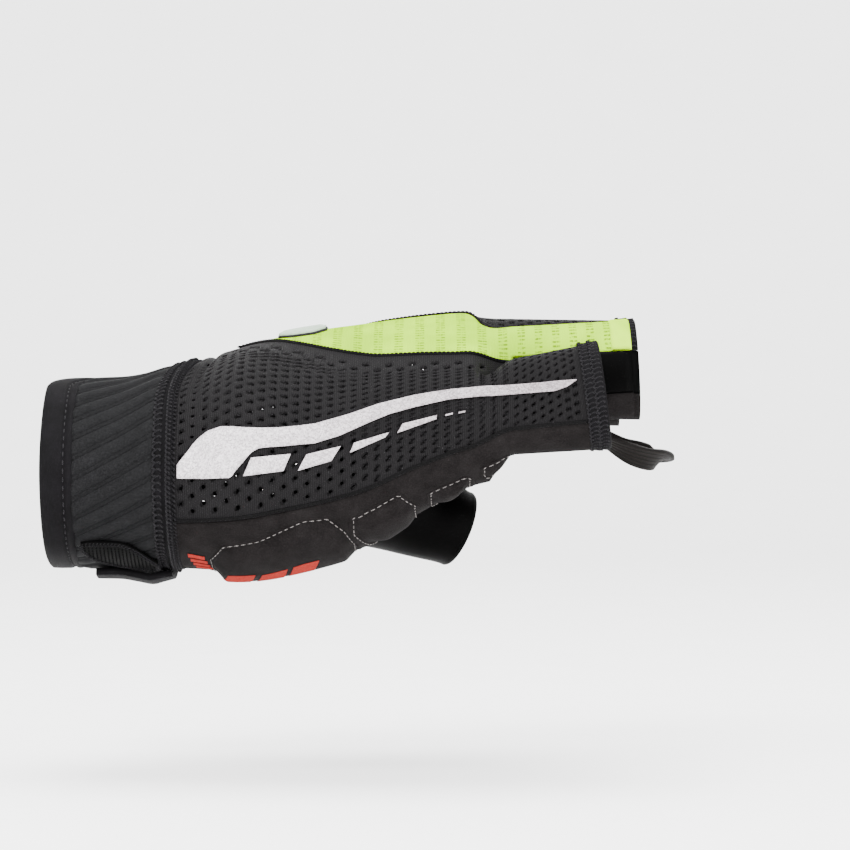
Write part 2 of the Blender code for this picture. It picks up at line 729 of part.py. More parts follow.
def make_fourchettes():
    """A gusset between two stalls: down one stall's side, round the crotch, up the next."""
    down_steps = 3
    turn_steps = 4
    for before, after in zip(FINGERS, FINGERS[1:]):
        grid = []
        for down in range(down_steps + 1):
            share = down / down_steps
            near_angle = lerp(180.0 - TOP_EDGE, 180.0 + PALM_SEAM, share)
            far_angle = lerp(TOP_EDGE, -PALM_SEAM, share)
            gap = (stall_point(after, crotch_x(), far_angle)
                   - stall_point(before, crotch_x(), near_angle)).length
            radius = min(gap / 2, CROTCH_RADIUS)
            bottom = crotch_x() + CLOTH / 2 + CROTCH_CLEARANCE
            line = [stall_point(before, x, near_angle)
                    for x in leg_places(before, near_angle, bottom + radius)]
            first, last = line[-1], stall_point(after, bottom + radius, far_angle)
            for step in range(1, turn_steps):
                turn = pi * step / turn_steps
                place = (first + last) / 2 + (first - last) / 2 * cos(turn)
                place.x -= radius * sin(turn)
                line.append(place)
            line += [stall_point(after, x, far_angle)
                     for x in reversed(leg_places(after, far_angle, bottom + radius))]
            grid.append(line)
        last = len(grid[0]) - 1
        for column in range(last + 1):
            from_hem = min(column, last - column) / (last / 2)
            trim = lerp(SEAM_GAP / 2, SEAM_GAP, min(1.0, 2.0 * from_hem))
            for edge, inner in ((0, 1), (down_steps, down_steps - 1)):
                here, there = grid[edge][column], grid[inner][column]
                grid[edge][column] = here + (there - here).normalized() * trim
        add_sheet("fourchette_%s_%s" % (before, after), grid, CLOTH, "lycra_black")


def leg_places(finger, angle, root):
    """The places along a stall's side, from its hem back to the root of the gusset."""
    end = hem_x(finger, angle)
    if finger == "little":
        end -= HEM_WIDTH + SEAM_GAP
    steps = 3
    return [lerp(end, root, step / steps) for step in range(steps + 1)]


def make_hems():
    """The little stall's hem goes all round; the others bind the edge of the back."""
    outline = band_outline(HEM_WIDTH, HEM_WALL)
    for finger in FINGERS:
        whole = finger == "little"
        edge = degrees(SEAM_GAP / 2 / (STALLS[finger].half_width * HAND_BREADTH))
        steps = 20 if whole else 8
        last_angle = 180.0 + PALM_SEAM if finger == "index" else 180.0 - TOP_EDGE
        rings = []
        for step in range(steps if whole else steps + 1):
            if whole:
                angle = 360.0 * step / steps
            else:
                angle = lerp(TOP_EDGE + edge, last_angle - edge, step / steps)
            start = hem_x(finger, angle) - HEM_WIDTH
            rings.append([stall_point(finger, start + across, angle)
                          + stall_normal(finger, angle) * height for across, height in outline])
        finish = "hem_neon_yellow" if finger == "ring" else "overlock_thread_black"
        add_band("hem_" + finger, rings, finish, closed=whole)


def make_thumb():
    """The thumb's stall, from the hole in the side seam to its own hem."""
    start = station_x(1.0 + THUMB_HOLE_START)
    end = station_x(1.0 + THUMB_HOLE_END)
    loop = []
    for step in range(2 * THUMB_STEPS):
        turn = pi * step / THUMB_STEPS
        x = lerp(start, end, (1.0 - cos(turn)) / 2)
        reach = THUMB_HOLE_RISE if sin(turn) > 0 else THUMB_HOLE_FALL
        loop.append((turn, x, 180.0 + PALM_SEAM - reach * sin(turn)))
    dip, splay = radians(THUMB_DIP), radians(THUMB_SPLAY)
    axis = Vector((cos(dip) * cos(splay), cos(dip) * sin(splay), -sin(dip)))
    side = Vector((-sin(splay), cos(splay), 0.0))
    crown = axis.cross(side)
    middle = hand_point((start + end) / 2, 180.0 + PALM_SEAM - THUMB_MIDDLE)
    hem_middle = middle + Vector((THUMB_REACH, -THUMB_INSET, -THUMB_DROP))
    edge = [hand_point(x, angle) for _, x, angle in loop]
    lines = []
    for index, (turn, x, angle) in enumerate(loop):
        outward = hand_normal(x, angle)
        run = (edge[(index + 1) % len(edge)] - edge[index - 1]).normalized()
        root = edge[index] + outward.cross(run) * THUMB_SEAT
        tip = hem_middle + (crown * -cos(turn) + side * sin(turn)) * THUMB_DIAMETER / 2
        lines.append((root, tip, outward))
    grid = []
    for share in THUMB_ROWS:
        s2, s3 = share ** 2, share ** 3
        grid.append([root * (2 * s3 - 3 * s2 + 1) + outward * THUMB_ROOT_PULL * (s3 - 2 * s2 + share)
                     + tip * (3 * s2 - 2 * s3) + axis * THUMB_END_PULL * (s3 - s2)
                     for root, tip, outward in lines])
    add_sheet("thumb_stall", grid, CLOTH, "lycra_black", closed=True)


def tape_grid(rows, base, wall, steps):
    grid = []
    for row in rows:
        x = row.along * CUFF_LENGTH
        line = []
        for step in range(steps + 1):
            angle = -lerp(row.near, row.far, step / steps)
            height = base + row.lift + wall / 2
            line.append(hand_point(x, angle) + hand_normal(x, angle) * height)
        grid.append(line)
    return grid


def make_closure():
    on_ribs = NEOPRENE / 2 + RIB_HEIGHT / 2 + SEAT
    on_band = SEAM_BAND_WALL / 2 + SEAT
    grid = tape_grid(HOOK_ROWS, on_ribs, HOOK_WALL, 4)
    add_sheet("closure_hook_patch", grid, HOOK_WALL, "hook_tape_black")
    grid = tape_grid(TAB_ROWS, max(on_ribs, on_band), TAB_WALL, 6)
    add_sheet("closure_tab", grid, TAB_WALL, "binding_black")


def make_pull_loop():
    """A woven tape, sewn flat under two stalls, that turns on edge as it comes round."""
    ring, middle = STALLS["ring"], STALLS["middle"]
    under = -90.0
    centres = []
    for row in LOOP_ROWS:
        x = crotch_x() + row.along * STALL_LENGTH
        y = lerp(ring.across, middle.across, row.across) * HAND_BREADTH
        finger = "ring" if row.across < 0.5 else "middle"
        z = stall_point(finger, x, under).z - SUEDE / 2 - SEAT - LOOP_WALL / 2
        if row.height is not None:
            z = row.height * KNUCKLE_HEIGHT
        centres.append(Vector((x, y, z)))
    grid = []
    for index, row in enumerate(LOOP_ROWS):
        before = centres[max(index - 1, 0)]
        after = centres[min(index + 1, len(centres) - 1)]
        run = (after - before).normalized()
        level = run.cross(Vector((0.0, 0.0, 1.0))).normalized()
        upright = level.cross(run).normalized()
        tilt = radians(row.tilt)
        across = level * cos(tilt) + upright * sin(tilt)
        grid.append([centres[index] + across * LOOP_WIDTH * share for share in (-0.5, 0.0, 0.5)])
    add_sheet("pull_loop", grid, LOOP_WALL, "woven_tape_black")


def make_badge():
    steps = 4
    under, over = [], []
    low = CLOTH / 2 + SEAT
    for index, row in enumerate(BADGE_ROWS):
        x = station_x(row.station)
        low_line, high_line = [], []
        for step in range(steps + 1):
            angle = lerp(row.near, row.far, step / steps)
            place, normal = hand_point(x, angle), hand_normal(x, angle)
            at_edge = index in (0, len(BADGE_ROWS) - 1) or step in (0, steps)
            low_line.append(place + normal * low)
            high_line.append(place + normal * (low + BADGE_WALL * (0.6 if at_edge else 1.0)))
        under.append(low_line)
        over.append(high_line)
    add_slab("back_badge", under, over, "rubber_grey")


def main():
    for thing in list(bpy.data.objects):
        bpy.data.objects.remove(thing)
    collection = bpy.data.collections.new("short_finger_glove")
    collection.name = "short_finger_glove"
    bpy.context.scene.collection.children.link(collection)
    make_binding()
    make_cuff_sleeve()
    make_cuff_seam()
    make_closure()
    make_back_panels()
    make_palm_panel()
    make_pads()
    make_fourchettes()
    make_hems()
    make_thumb()
    make_pull_loop()
    make_badge()


main()
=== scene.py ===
# Short finger glove: knit, suede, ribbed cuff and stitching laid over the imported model.
# Metres in the model's frame: +X to the fingers, +Y to the thumb, +Z out of the back of the hand.
from bisect import bisect_right
from collections import namedtuple
from math import cos, degrees, exp, pi, radians, sin, sqrt, tan

import bpy
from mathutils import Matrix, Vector


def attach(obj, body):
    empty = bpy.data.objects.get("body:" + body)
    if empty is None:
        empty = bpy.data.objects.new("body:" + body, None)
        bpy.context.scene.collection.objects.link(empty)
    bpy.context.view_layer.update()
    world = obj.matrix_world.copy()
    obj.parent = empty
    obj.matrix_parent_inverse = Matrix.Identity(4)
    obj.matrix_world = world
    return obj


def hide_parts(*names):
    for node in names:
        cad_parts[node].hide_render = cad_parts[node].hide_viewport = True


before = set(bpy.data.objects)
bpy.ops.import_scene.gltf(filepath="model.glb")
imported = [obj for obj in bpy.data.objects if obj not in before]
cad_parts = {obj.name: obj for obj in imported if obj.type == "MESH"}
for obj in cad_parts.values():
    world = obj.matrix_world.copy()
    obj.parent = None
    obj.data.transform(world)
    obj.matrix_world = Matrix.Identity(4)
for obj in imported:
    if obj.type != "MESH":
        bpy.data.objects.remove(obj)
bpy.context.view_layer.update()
print("model loaded:", len(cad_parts), "pieces")

# the glove's form
hand = {
    "cuffLength": 0.0325, "palmLength": 0.082, "stallLength": 0.033,
    "wristBreadth": 0.061, "wristDepth": 0.045, "handBreadth": 0.090,
    "knuckleHeight": 0.040, "palmHeight": 0.0045,
    "palmSeam": 30.0,        # degrees below the sides where the palm starts
    "topEdge": 22.0,         # degrees above a stall's sides where its back starts
    "blendLength": 0.011,    # over which the hand parts into fingers
    "palmBlend": 0.0060,     # the same under the roots of the fingers
    "blendColumns": 1.5,     # columns from a seam over which it shortens to that
    "webShares": {"little": 0.88, "ring": 0.6, "middle": 0.6},    # from each stall to the next
    "hemGap": 0.0046,        # how far the cloth stops short of a hemmed edge
    "notchDepth": 0.0095, "notchCentre": 106.0, "notchReach": 42.0,     # the dip in the cuff's edge
    "pucker": 0.0009, "puckerPlace": 0.0060, "puckerWidth": 0.0030,     # the gather past the cuff's seam
    # how far that seam leans over the back, and the degrees over which it rises and falls
    "bow": 0.0045, "bowReach": 0.018, "bowRise": (40.0, 100.0), "bowFall": (150.0, 230.0),
    # the thumb's hole: shares of the palm's length, and degrees over and under the side seam
    "holeStart": 0.27, "holeEnd": 0.76, "holeRise": 28.0, "holeFall": 22.0,
}

# each row is a cut across the hand, in shares of the sizes above
Section = namedtuple(
    "Section",
    "station littleSide thumbSide crest belly littleRise thumbRise crestShift bellyShift "
    "littleBack thumbBack")
sections = (
    Section(0.00, 0.00, 0.00, 0.00, 0.00, 0.000, 0.000, 0.000, 0.000, 2.0, 2.0),
    Section(0.50, 0.00, 0.00, -0.02, 0.00, 0.000, 0.000, 0.000, 0.000, 2.0, 2.0),
    Section(1.00, 0.20, 0.24, 0.20, -0.03, 0.000, 0.000, 0.000, 0.000, 2.0, 2.0),
    Section(1.17, 0.52, 0.65, 0.46, -0.05, 0.040, 0.010, 0.022, -0.022, 1.95, 2.1),
    Section(1.35, 0.76, 0.93, 0.68, 0.02, 0.125, 0.075, 0.044, -0.067, 1.85, 2.2),
    Section(1.54, 0.90, 1.07, 0.81, 0.16, 0.225, 0.225, 0.056, -0.156, 1.75, 2.3),
    Section(1.72, 1.00, 1.12, 0.92, 0.495, 0.325, 0.400, 0.067, -0.244, 1.65, 2.45),
    Section(1.87, 1.03, 1.08, 0.98, 0.74, 0.385, 0.500, 0.089, -0.311, 1.55, 2.6),
    Section(2.00, 1.00, 1.00, 0.90, 0.83, 0.410, 0.540, 0.100, -0.367, 1.5, 2.6),
)

# the fingers' stalls: place, size and how they lean, in shares of the hand's breadth and height
Stall = namedtuple("Stall", "across height halfWidth halfHeight length slant lift lean flare")
stalls = {
    "little": Stall(-0.395, 0.408, 0.105, 0.275, 0.71, 0.10, 0.130, -0.03, 0.07),
    "ring": Stall(-0.150, 0.600, 0.113, 0.290, 0.91, 0.04, 0.055, 0.00, 0.0),
    "middle": Stall(0.112, 0.657, 0.118, 0.300, 1.00, 0.04, -0.015, 0.02, 0.0),
    "index": Stall(0.374, 0.612, 0.118, 0.292, 0.88, 0.04, -0.020, 0.04, 0.0),
}
fingers = tuple(stalls)

# the two edges of the yellow panel, in degrees round the hand
Seam = namedtuple("Seam", "station littleEdge thumbEdge")
centreSeams = (
    Seam(1.00, 90, 90), Seam(1.17, 90, 90), Seam(1.27, 79, 101), Seam(1.35, 67, 106),
    Seam(1.44, 57, 107), Seam(1.54, 49, 101), Seam(1.61, 45, 94), Seam(1.74, 42, 89),
    Seam(1.85, 40, 86), Seam(2.00, 41, 73),
)
Column = namedtuple("Column", "finger angle")


def lerp(a, b, share):
    return a + (b - a) * share


def smooth(share):
    share = min(max(share, 0.0), 1.0)
    return share * share * (3.0 - 2.0 * share)


def ramp(value, low, high):
    return smooth((value - low) / (high - low))


def follow(table, column, at):
    # reads a column of a table smoothly between its rows
    places = [row[0] for row in table]
    values = [getattr(row, column) for row in table]
    if at <= places[0]:
        return values[0]
    if at >= places[-1]:
        return values[-1]
    slopes = [(values[i + 1] - values[i]) / (places[i + 1] - places[i])
              for i in range(len(places) - 1)]

    def tangent(i):
        if i in (0, len(places) - 1):
            return slopes[min(i, len(slopes) - 1)]
        before, after = slopes[i - 1], slopes[i]
        return 0.0 if before * after <= 0.0 else 2.0 * before * after / (before + after)

    i = bisect_right(places, at) - 1
    step = places[i + 1] - places[i]
    t = (at - places[i]) / step
    return ((2 * t ** 3 - 3 * t ** 2 + 1) * values[i] + (t ** 3 - 2 * t ** 2 + t) * step * tangent(i)
            + (3 * t ** 2 - 2 * t ** 3) * values[i + 1] + (t ** 3 - t ** 2) * step * tangent(i + 1))


crotchX = hand["cuffLength"] + hand["palmLength"]


def stationX(station):
    return hand["cuffLength"] * min(station, 1.0) + hand["palmLength"] * max(station - 1.0, 0.0)


def xStation(x):
    if x <= hand["cuffLength"]:
        return x / hand["cuffLength"]
    return 1.0 + (x - hand["cuffLength"]) / hand["palmLength"]


sectionCache = {}


def sectionAt(x):
    key = round(x, 7)
    if key not in sectionCache:
        station = xStation(x)
        sectionCache[key] = {name: follow(sections, name, station) for name in Section._fields[1:]}
    return sectionCache[key]


def bowed(x, angle):
    turn = angle % 360.0
    over = ramp(turn, *hand["bowRise"]) * (1.0 - ramp(turn, *hand["bowFall"]))
    return x + hand["bow"] * over * smooth(1.0 - abs(x - hand["cuffLength"]) / hand["bowReach"])


def handPoint(x, angle):
    # 0 is the little finger's side, 90 the back, 180 the thumb's side and -90 the palm
    angle = (angle + 90.0) % 360.0 - 90.0
    pastSeam = (x - hand["cuffLength"] - hand["puckerPlace"]) / hand["puckerWidth"]
    x = bowed(x, angle)
    row = sectionAt(x)
    side = "little" if angle <= 90.0 else "thumb"
    sign = -1.0 if side == "little" else 1.0
    sideY = sign * lerp(hand["wristBreadth"] / 2, hand["handBreadth"] / 2, row[side + "Side"])
    sideZ = row[side + "Rise"] * hand["knuckleHeight"]
    onBack = 0.0 <= angle <= 180.0
    if onBack:
        poleY = row["crestShift"] * hand["handBreadth"]
        poleZ = lerp(hand["wristDepth"] / 2, hand["knuckleHeight"], row["crest"])
        power = 2.0 / row[side + "Back"]
    else:
        poleY = row["bellyShift"] * hand["handBreadth"]
        poleZ = lerp(-hand["wristDepth"] / 2, hand["palmHeight"], row["belly"])
        power = 1.0
    y = poleY + (sideY - poleY) * abs(cos(radians(angle))) ** power
    z = sideZ + (poleZ - sideZ) * abs(sin(radians(angle))) ** power
    pucker = hand["pucker"] * max(0.0, 1.0 - pastSeam ** 2) if onBack else 0.0
    shrink = 1.0 - pucker / hand["knuckleHeight"]
    return Vector((x, y * shrink, z * shrink))


def handNormal(x, angle, stepX=0.0008, stepAngle=2.0):
    along = handPoint(x + stepX, angle) - handPoint(x - stepX, angle)
    around = handPoint(x, angle + stepAngle) - handPoint(x, angle - stepAngle)
    return along.cross(around).normalized()


def stallPoint(finger, x, angle):
    stall = stalls[finger]
    past = x - crotchX
    y = stall.across * hand["handBreadth"] + stall.lean * past
    z = stall.height * hand["knuckleHeight"] + stall.lift * past
    y -= stall.halfWidth * hand["handBreadth"] * cos(radians(angle))
    z += (stall.halfHeight * hand["knuckleHeight"] + stall.flare * past) * sin(radians(angle))
    return Vector((x, y, z))


def stallNormal(finger, angle):
    stall = stalls[finger]
    across = -cos(radians(angle)) / (stall.halfWidth * hand["handBreadth"])
    up = sin(radians(angle)) / (stall.halfHeight * hand["knuckleHeight"])
    return Vector((0.0, across, up)).normalized()


def hemX(finger, angle):
    # where a stall ends
    stall = stalls[finger]
    return crotchX + hand["stallLength"] * (stall.length - stall.slant * (1.0 + sin(radians(angle))) / 2)


def holeOpen(x):
    start, end = stationX(1.0 + hand["holeStart"]), stationX(1.0 + hand["holeEnd"])
    off = (2.0 * x - start - end) / (end - start)
    return sqrt(max(0.0, 1.0 - off * off))


def littlePalmSeam(_):
    return -hand["palmSeam"]


def thumbPalmSeam(x):
    return -180.0 + hand["palmSeam"] + hand["holeFall"] * holeOpen(x)


def thumbBackSeam(x):
    return 180.0 + hand["palmSeam"] - hand["holeRise"] * holeOpen(x)


def littleCentreSeam(x):
    return follow(centreSeams, "littleEdge", xStation(x))


def thumbCentreSeam(x):
    return follow(centreSeams, "thumbEdge", xStation(x))


def columnTarget(column, x):
    if isinstance(column.finger, tuple):
        before, after = column.finger
        first = stallPoint(before, x, 180.0 - hand["topEdge"])
        return first.lerp(stallPoint(after, x, hand["topEdge"]), hand["webShares"][before])
    return stallPoint(column.finger, x, column.angle)


def columnShares(columns, firstAngle, lastAngle, pastEnds=25.0, tries=120, leastStep=0.02):
    # where each column lies across its panel, half by angle and half by distance
    past = pastEnds if lastAngle > firstAngle else -pastEnds
    targets = [columnTarget(column, crotchX) for column in columns]
    search = [lerp(firstAngle - past, lastAngle + past, step / tries) for step in range(tries + 1)]
    places = [(angle, handPoint(crotchX, angle)) for angle in search]
    angles = [min(places, key=lambda place: (place[1] - target).length)[0] for target in targets]
    lengths = [0.0]
    for before, after in zip(targets, targets[1:]):
        lengths.append(lengths[-1] + (after - before).length)
    shares = [((angle - angles[0]) / (angles[-1] - angles[0]) + length / lengths[-1]) / 2
              for angle, length in zip(angles, lengths)]
    for index in range(1, len(shares)):
        shares[index] = max(shares[index], shares[index - 1] + leastStep)
    return [share / shares[-1] for share in shares]


class Panel:
    # one cut piece of the hand: columns of the stalls that it runs into, between two seams
    def __init__(self, columns, firstSeam, lastSeam, shortBlend=None):
        self.columns, self.firstSeam, self.lastSeam = columns, firstSeam, lastSeam
        self.shortBlend = shortBlend or hand["blendLength"]
        self.shares = columnShares(columns, firstSeam(crotchX), lastSeam(crotchX))

    def target(self, place, x):
        # place counts columns: 2.5 is half way from column 2 to column 3
        left = min(int(place), len(self.columns) - 2)
        part = place - left
        a, b = self.columns[left], self.columns[left + 1]
        if a.finger == b.finger:
            return stallPoint(a.finger, x, lerp(a.angle, b.angle, part))
        return columnTarget(a, x).lerp(columnTarget(b, x), part)

    def share(self, place):
        left = min(int(place), len(self.columns) - 2)
        return lerp(self.shares[left], self.shares[left + 1], place - left)

    def point(self, place, x):
        if x >= crotchX:
            return self.target(place, x)
        onHand = handPoint(x, lerp(self.firstSeam(x), self.lastSeam(x), self.share(place)))
        inside = smooth(min(place, len(self.columns) - 1 - place) / hand["blendColumns"])
        blend = lerp(hand["blendLength"], self.shortBlend, inside)
        parted = smooth((x - crotchX + blend) / blend)
        return onHand.lerp(self.target(place, x), parted) if parted > 0.0 else onHand

    def placeOf(self, share):
        right = min(max(bisect_right(self.shares, share), 1), len(self.shares) - 1)
        left = right - 1
        return left + (share - self.shares[left]) / (self.shares[right] - self.shares[left])

    def at(self, x, angle):
        # the panel's point at an angle round the hand
        first, last = self.firstSeam(x), self.lastSeam(x)
        return self.point(self.placeOf(min(max((angle - first) / (last - first), 0.0), 1.0)), x)

    def normalAt(self, x, angle, stepX=0.001, stepAngle=2.5):
        along = self.at(x + stepX, angle) - self.at(x - stepX, angle)
        around = self.at(x, angle + stepAngle) - self.at(x, angle - stepAngle)
        return along.cross(around).normalized()


backAngles = (hand["topEdge"], 48.0, 76.0, 104.0, 132.0, 180.0 - hand["topEdge"])


def columnsOf(finger, angles):
    return [Column(finger, angle) for angle in angles]


outerPanel = Panel(columnsOf("little", (-hand["palmSeam"], -4.0) + backAngles)
                   + [Column(("little", "ring"), 0.0)], littlePalmSeam, littleCentreSeam)
centrePanel = Panel([Column(("little", "ring"), 0.0)] + columnsOf("ring", backAngles)
                    + [Column(("ring", "middle"), 0.0)], littleCentreSeam, thumbCentreSeam)
innerPanel = Panel([Column(("ring", "middle"), 0.0)] + columnsOf("middle", backAngles)
                   + columnsOf("index", backAngles + (184.0, 180.0 + hand["palmSeam"])),
                   thumbCentreSeam, thumbBackSeam)
palmAngles = [lerp(-hand["palmSeam"], -180.0 + hand["palmSeam"], step / 5) for step in range(6)]
palmPanel = Panel([column for finger in fingers for column in columnsOf(finger, palmAngles)],
                  littlePalmSeam, thumbPalmSeam, hand["palmBlend"])
print("form ready")

# helpers for meshes and nodes
glove = bpy.data.collections.new("gloveFinish")
bpy.context.scene.collection.children.link(glove)


def addNode(tree, kind, inputs=None, **settings):
    node = tree.nodes.new(kind)
    for name, value in settings.items():
        setattr(node, name, value)
    for place, source in (inputs or {}).items():
        if isinstance(source, bpy.types.NodeSocket):
            tree.links.new(source, node.inputs[place])
        else:
            node.inputs[place].default_value = source
    return node


def newPiece(name, points, faces, finish, edges=()):
    mesh = bpy.data.meshes.new(name)
    mesh.from_pydata([tuple(point) for point in points], list(edges), faces)
    if finish:
        mesh.materials.append(finish)
    mesh.shade_smooth()
    piece = bpy.data.objects.new(name, mesh)
    glove.objects.link(piece)
    return piece


def setAttribute(piece, name, kind, domain, values):
    data = piece.data.attributes.new(name, kind, domain).data
    data.foreach_set("vector" if kind == "FLOAT_VECTOR" else "value", values)


def gridPiece(name, grid, finish, closed=False, clothMm=None, flip=False, isOpen=None):
    # rows of points, with None or an open cell where there is no cloth
    points, number, cloth = [], {}, []
    for r, line in enumerate(grid):
        for c, point in enumerate(line):
            if point is not None:
                number[r, c] = len(points)
                points.append(point)
                cloth.append(clothMm[r][c] if clothMm else (r, c, 0.0))
    width = len(grid[0])
    faces, cells = [], []
    for r in range(len(grid) - 1):
        for c in range(width if closed else width - 1):
            corners = ((r, c), (r + 1, c), (r + 1, (c + 1) % width), (r, (c + 1) % width))
            if all(corner in number for corner in corners) and not (isOpen and isOpen(r, c)):
                face = [number[corner] for corner in corners]
                faces.append(face[::-1] if flip else face)
                cells.append((r, c))
    piece = newPiece(name, points, faces, finish)
    setAttribute(piece, "clothMm", "FLOAT_VECTOR", "POINT", [value for place in cloth for value in place])
    return piece, cells


def gridOf(rows, columns, pointAt):
    # a grid of points from a function of two shares
    return [[pointAt(i / rows, j / columns) for j in range(columns + 1)] for i in range(rows + 1)]


def rimOf(grid):
    # the (row, column) pairs once round a grid's edge
    height, width = len(grid), len(grid[0])
    rim = [(0, c) for c in range(width)] + [(r, width - 1) for r in range(1, height)]
    rim += [(height - 1, c) for c in range(width - 2, -1, -1)]
    return rim + [(r, 0) for r in range(height - 2, 0, -1)]


def bandPiece(name, rings, finish, closed=True):
    # a solid band whose cross-sections are closed rings of points
    count = len(rings[0])
    points = [point for ring in rings for point in ring]
    faces = []
    for r in range(len(rings) if closed else len(rings) - 1):
        here, there = r * count, (r + 1) % len(rings) * count
        for p in range(count):
            q = (p + 1) % count
            faces.append((here + p, here + q, there + q, there + p))
    if not closed:
        last = (len(rings) - 1) * count
        faces.append([p for p in reversed(range(count))])
        faces.append([last + p for p in range(count)])
    return newPiece(name, points, faces, finish)


def slabPiece(name, under, over, finish):
    # a solid between two grids
    height, width = len(under), len(under[0])
    points = [point for line in under for point in line] + [point for line in over for point in line]
    top = height * width
    faces = []
    for r in range(height - 1):
        for c in range(width - 1):
            a, b = r * width + c, (r + 1) * width + c
            faces.append((a + 1, b + 1, b, a))
            faces.append((top + a, top + b, top + b + 1, top + a + 1))
    rim = [r * width + c for r, c in rimOf(under)]
    for here, there in zip(rim, rim[1:] + rim[:1]):
        faces.append((here, top + here, top + there, there))
    return newPiece(name, points, faces, finish)


def giveWall(piece, thickness):
    wall = piece.modifiers.new("wall", "SOLIDIFY")
    wall.thickness = thickness
    wall.offset = 0.0
    wall.use_even_offset = False
    wall.use_quality_normals = True


def useTree(piece, tree, values):
    # runs a node tree on a piece and keeps the result as its plain mesh
    modifier = piece.modifiers.new("tree", "NODES")
    modifier.node_group = tree
    for item in tree.interface.items_tree:
        if item.item_type == "SOCKET" and item.in_out == "INPUT" and item.name in values:
            modifier[item.identifier] = values[item.name]
    bpy.context.view_layer.update()
    made = bpy.data.meshes.new_from_object(piece.evaluated_get(bpy.context.evaluated_depsgraph_get()))
    piece.modifiers.remove(modifier)
    piece.data = made
    made.name = piece.name


def keep(piece, slotName, *nodes):
    if nodes:
        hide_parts(*nodes)
    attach(piece, "root")


def clothPiece(name, grid, finish, wall, slotName, *nodes, **shape):
    # a sheet of cloth with its wall
    piece, _ = gridPiece(name, grid, finish, **shape)
    giveWall(piece, wall)
    keep(piece, slotName, *nodes)


# materials
def colour(code):
    # sRGB hex to the linear values that sockets take
    parts = [int(code[i:i + 2], 16) / 255 for i in (1, 3, 5)]
    return tuple(p / 12.92 if p <= 0.04045 else ((p + 0.055) / 1.055) ** 2.4 for p in parts) + (1.0,)


def startMaterial(name, roughness, specular):
    # cloth has a far weaker mirror than plastic, so specular stays low
    made = bpy.data.materials.new(name)
    made.use_nodes = True
    shader = made.node_tree.nodes["Principled BSDF"]
    shader.inputs["Roughness"].default_value = roughness
    shader.inputs["Specular IOR Level"].default_value = specular
    return made, made.node_tree, shader


def maths(tree, operation, first, second=0.0, third=0.0):
    return addNode(tree, "ShaderNodeMath", {0: first, 1: second, 2: third},
                   operation=operation).outputs[0]


def objectMm(tree):
    place = addNode(tree, "ShaderNodeTexCoord").outputs["Object"]
    return addNode(tree, "ShaderNodeVectorMath", {0: place, "Scale": 1000.0},
                   operation="SCALE").outputs[0]


def clothPlace(tree):
    # mm along and across the cloth, from its own attribute
    place = addNode(tree, "ShaderNodeAttribute", attribute_name="clothMm").outputs["Vector"]
    split = addNode(tree, "ShaderNodeSeparateXYZ", {0: place})
    return place, split.outputs[0], split.outputs[1]


def noise(tree, place, size, detail=2.0, roughness=0.5):
    # size is the width of a blot in mm
    return addNode(tree, "ShaderNodeTexNoise", {"Vector": place, "Scale": 1.0 / size,
                   "Detail": detail, "Roughness": roughness}).outputs[0]


def spread(tree, value, low, high, newLow=0.0, newHigh=1.0):
    return addNode(tree, "ShaderNodeMapRange", {0: value, 1: low, 2: high, 3: newLow, 4: newHigh},
                   clamp=True).outputs[0]


def mixed(tree, share, first, second):
    return addNode(tree, "ShaderNodeMix", {0: share, 6: first, 7: second}, data_type="RGBA").outputs[2]


def finishMaterial(tree, shader, base, height, depthMm):
    # its colour, and the relief that is too small to model
    made = addNode(tree, "ShaderNodeBump", {"Height": height, "Distance": depthMm / 1000, "Strength": 1.0})
    tree.links.new(made.outputs[0], shader.inputs["Normal"])
    tree.links.new(base, shader.inputs["Base Color"])


def ridge(tree, place, pitch, shift=0.0):
    # 0 in a groove and 1 on a ridge, once every pitch
    turned = maths(tree, "MULTIPLY_ADD", place, pi / pitch, shift)
    return maths(tree, "ABSOLUTE", maths(tree, "SINE", turned))


# knit mesh in black polyester: its small loops catch the light, painted as a lighter colour on their raised
# tops, so it reads as soft dark grey ribs;
# wale and course are the loops' pitch in mm, drawn about twice as coarse as real ones so that they show
knitLook = {"wale": 0.52, "course": 0.46, "dark": "#050505", "light": "#181718", "relief": 0.10}


def knitMaterial(name, look):
    made, tree, shader = startMaterial(name, 0.62, specular=0.03)
    _, along, across = clothPlace(tree)
    wale = ridge(tree, along, look["wale"])
    halfWale = maths(tree, "FLOOR", maths(tree, "DIVIDE", along, look["wale"]))
    course = ridge(tree, across, look["course"], maths(tree, "MULTIPLY", halfWale, pi / 2))
    height = maths(tree, "MULTIPLY", wale, maths(tree, "MULTIPLY_ADD", course, 0.55, 0.45))
    rough = noise(tree, objectMm(tree), 0.35, 3.0, 0.7)
    height = maths(tree, "MULTIPLY_ADD", rough, 0.9, height)
    patch = noise(tree, objectMm(tree), 9.0)
    # painted highlight: the colour follows the loops' height, lighter on their raised tops
    share = spread(tree, maths(tree, "MULTIPLY_ADD", patch, 0.35, height), 0.35, 1.55)
    base = mixed(tree, share, colour(look["dark"]), colour(look["light"]))
    finishMaterial(tree, shader, base, height, look["relief"])
    return made


# polyester knit in a fluorescent dye: bright, flat and without shine, with rows of small pressed marks;
# the pitches are in mm, and the glow is a painted glow, an emission that brightens the dye
neonLook = {"deep": "#84B000", "bright": "#94C200", "mark": "#3A5C00", "markPitch": 5.1,
            "rowPitch": 1.6, "relief": 0.30, "paintedGlow": 0.12}


